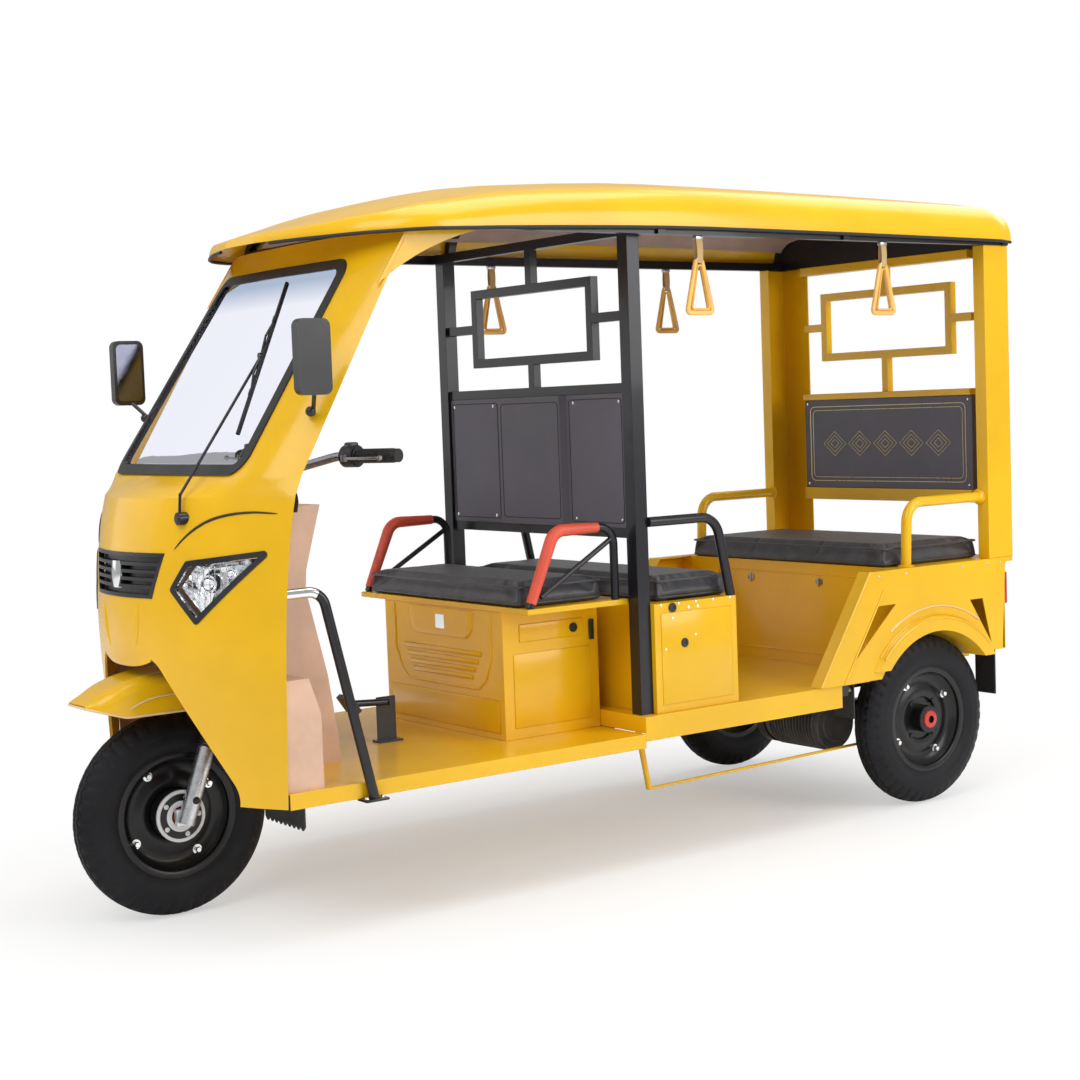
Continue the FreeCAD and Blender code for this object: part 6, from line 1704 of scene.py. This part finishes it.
class RICKSHAW_OT_running_gear(bpy.types.Operator):
    """Adds the motor's fins, the springs' clamps and the fork's rubber boots"""

    bl_idname = "rickshaw.running_gear"
    bl_label = "Running gear"

    def execute(self, context):
        fins, clamps = bmesh.new(), bmesh.new()
        low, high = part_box("motor")
        centre = (low + high) / 2
        radius = (high.z - low.z) / 2
        fin = [(0, radius - 0.001), (0.001, radius + 0.006), (0.004, radius + 0.006), (0.005, radius - 0.001)]
        for k in range(15):
            x = low.x + 0.022 + k * (high.x - low.x - 0.044) / 14
            add_turned(fins, (x, centre.y, centre.z), fin, (1, 0, 0), 40)
        cover = [(0, radius * 0.72), (0.006, radius * 0.68), (0.008, radius * 0.3)]
        add_turned(fins, (high.x, centre.y, centre.z), cover, (1, 0, 0), 32)
        for sign in SIDES:
            for offset in (-27, 27):
                x = sign * 270 + offset
                ends = ((-36, 262), (-36, 214), (36, 214), (36, 262))
                line = bent_line([at(x, REAR_AXLE + y, z) for y, z in ends], 0.030, 8)
                add_pipe(clamps, line, 0.0045, 10)
        new_piece("motor_fins", fins, "body", "motor_casing")
        new_piece("spring_clamps", clamps, "body", "black_paint")
        self.boots()
        return {"FINISHED"}

    def boots(self):
        """Ribbed rings where the legs enter the sliders."""
        boots = bmesh.new()
        rib = [(0, 0.0175), (0.002, 0.0235), (0.0045, 0.0235), (0.0065, 0.0175)]
        up = Vector((0, math.sin(RAKE), math.cos(RAKE)))
        for sign in SIDES:
            foot = at(sign * 78, *STEER_FOOT) - up * mm(16)
            top = foot + up * mm(190)
            for k in range(5):
                add_turned(boots, top + up * mm(7 * k), rib, up, 28)
            add_bolt(boots, foot + up * mm(60) + Vector((sign * 0.0205, 0, 0)), (sign, 0, 0), 0.006, 0.005)
        new_piece("fork_boots", boots, "steering", "rubber")


# Stage.

# The soft lights: place, size in metres, and share of the main one's power.
LIGHTS = {
    "key": ((2.0, -4.6, 5.2), 4.0, 1),
    "side": ((5.4, 2.6, 3.0), 3.6, 1.05),
    "fill": ((-4.5, -4.0, 3.0), 4.5, 0.30),
    "rim": ((-1.0, 5.5, 4.5), 4.0, 0.5),
    "top": ((0.3, 0.6, 5.6), 4.0, 0.8),
}
# The camera's place in metres, its turn, pitch and roll in degrees, and its lens in millimetres.
CAMERA_PLACE = (4.1873, -3.0665, 1.197)
CAMERA_TURNS = (53.9, 4.0, 2.1)
CAMERA_LENS = 62.35


class RICKSHAW_OT_stage(bpy.types.Operator):
    """Makes the floor, the soft lights, the surroundings and the camera"""

    bl_idname = "rickshaw.stage"
    bl_label = "Stage"

    def execute(self, context):
        settings = context.scene.rickshaw_light
        self.floor()
        self.lights(settings.key)
        self.world(settings.world)
        self.camera()
        return {"FINISHED"}

    def floor(self):
        """A pale floor that fades to pure white away from the vehicle, for the camera alone."""
        bm = bmesh.new()
        bmesh.ops.create_grid(bm, x_segments=1, y_segments=1, size=60)
        floor = mesh_piece("floor", bm)
        floor.location.z = -0.0005

        def build(nodes, shader):
            nodes.feed(shader, Base_Color=(0.95, 0.95, 0.95, 1), Roughness=0.85, Specular_IOR_Level=0.15)
            place = nodes.split(nodes.here())
            across = nodes.math("MULTIPLY", place["X"], 1.55)
            squares = [nodes.math("MULTIPLY", way, way) for way in (across, place["Y"])]
            far = nodes.math("SQRT", nodes.math("ADD", *squares))
            seen = nodes.add("ShaderNodeLightPath").outputs["Is Camera Ray"]
            faded = nodes.math("MULTIPLY", nodes.span(far, 0.8, 2.4, 0.35, 1.0), seen)
            glow = nodes.add("ShaderNodeEmission", Color=(1, 1, 1, 1))
            blend = nodes.add("ShaderNodeMixShader")
            for socket, value in zip(blend.inputs, (faded, shader.outputs[0], glow.outputs[0])):
                nodes.put(socket, value)
            nodes.put(nodes.tree.nodes["Material Output"].inputs["Surface"], blend.outputs[0])

        floor.data.materials.append(material("pale_floor", build))

    def lights(self, power):
        """Square soft lights that look at the vehicle's middle."""
        for name, (place, size, share) in LIGHTS.items():
            data = bpy.data.lights.new(name, "AREA")
            data.shape = "SQUARE"
            data.size = size
            data.energy = power * share
            lamp = bpy.data.objects.new(name, data)
            lamp.location = place
            lamp.rotation_euler = (Vector((0, 0, 0.8)) - Vector(place)).to_track_quat("-Z", "Y").to_euler()
            bpy.context.scene.collection.objects.link(lamp)

    def world(self, strength):
        """White for the camera and through glass, softer for what lights and mirrors."""
        world = bpy.data.worlds.new("surroundings")
        world.use_nodes = True
        nodes = Nodes(world.node_tree)
        shader = world.node_tree.nodes["Background"]
        path = nodes.add("ShaderNodeLightPath")
        seen = nodes.math("MAXIMUM", path.outputs["Is Camera Ray"], path.outputs["Is Transmission Ray"])
        shader.inputs["Color"].default_value = (1, 1, 1, 1)
        nodes.put(shader.inputs["Strength"], nodes.span(seen, 0.0, 1.0, strength, 1.0))
        bpy.context.scene.world = world

    def camera(self):
        """The camera at the photograph's place: its turn, pitch and roll in degrees."""
        data = bpy.data.cameras.new("camera")
        data.lens = CAMERA_LENS
        camera = bpy.data.objects.new("camera", data)
        a, p, r = (math.radians(v) for v in CAMERA_TURNS)
        back = Vector((math.sin(a) * math.cos(p), -math.cos(a) * math.cos(p), math.sin(p)))
        right = Vector((math.cos(a), math.sin(a), 0))
        up = back.cross(right)
        side = math.cos(r) * right - math.sin(r) * up
        top = math.sin(r) * right + math.cos(r) * up
        turn = Matrix((side, top, back)).transposed()
        camera.matrix_world = Matrix.Translation(CAMERA_PLACE) @ turn.to_4x4()
        bpy.context.scene.collection.objects.link(camera)
        bpy.context.scene.camera = camera


class RICKSHAW_PT_panel(bpy.types.Panel):
    """Shows the rickshaw's settings and a button for each step."""

    bl_idname = "RICKSHAW_PT_panel"
    bl_label = "Rickshaw"
    bl_space_type = "VIEW_3D"
    bl_region_type = "UI"
    bl_category = "Rickshaw"

    def draw(self, context):
        for settings in SETTINGS:
            group = getattr(context.scene, settings)
            box = self.layout.box()
            for name in group.bl_rna.properties.keys():
                if name not in ("rna_type", "name"):
                    box.prop(group, name)
        for operator in OPERATORS:
            self.layout.operator(operator.bl_idname)


OPERATORS = (
    RICKSHAW_OT_paint,
    RICKSHAW_OT_tyres,
    RICKSHAW_OT_wheel_trim,
    RICKSHAW_OT_cushions,
    RICKSHAW_OT_roof,
    RICKSHAW_OT_nose,
    RICKSHAW_OT_mudguard,
    RICKSHAW_OT_screen,
    RICKSHAW_OT_mirrors,
    RICKSHAW_OT_handlebar,
    RICKSHAW_OT_rails,
    RICKSHAW_OT_boxes,
    RICKSHAW_OT_backrests,
    RICKSHAW_OT_straps,
    RICKSHAW_OT_rear_body,
    RICKSHAW_OT_running_gear,
    RICKSHAW_OT_stage,
)
SETTINGS = {
    "rickshaw_paint": PaintSettings,
    "rickshaw_tyres": TyreSettings,
    "rickshaw_cushions": CushionSettings,
    "rickshaw_light": LightSettings,
}


def register():
    for group in SETTINGS.values():
        bpy.utils.register_class(group)
    for name, group in SETTINGS.items():
        setattr(bpy.types.Scene, name, PointerProperty(type=group))
    for item in OPERATORS:
        bpy.utils.register_class(item)
    bpy.utils.register_class(RICKSHAW_PT_panel)


def unregister():
    bpy.utils.unregister_class(RICKSHAW_PT_panel)
    for item in reversed(OPERATORS):
        bpy.utils.unregister_class(item)
    for name, group in SETTINGS.items():
        delattr(bpy.types.Scene, name)
        bpy.utils.unregister_class(group)


def main():
    register()
    bpy.context.scene.view_settings.view_transform = "Standard"
    for operator in OPERATORS:
        group, name = operator.bl_idname.split(".")
        getattr(getattr(bpy.ops, group), name)()


if __name__ == "__main__":
    main()
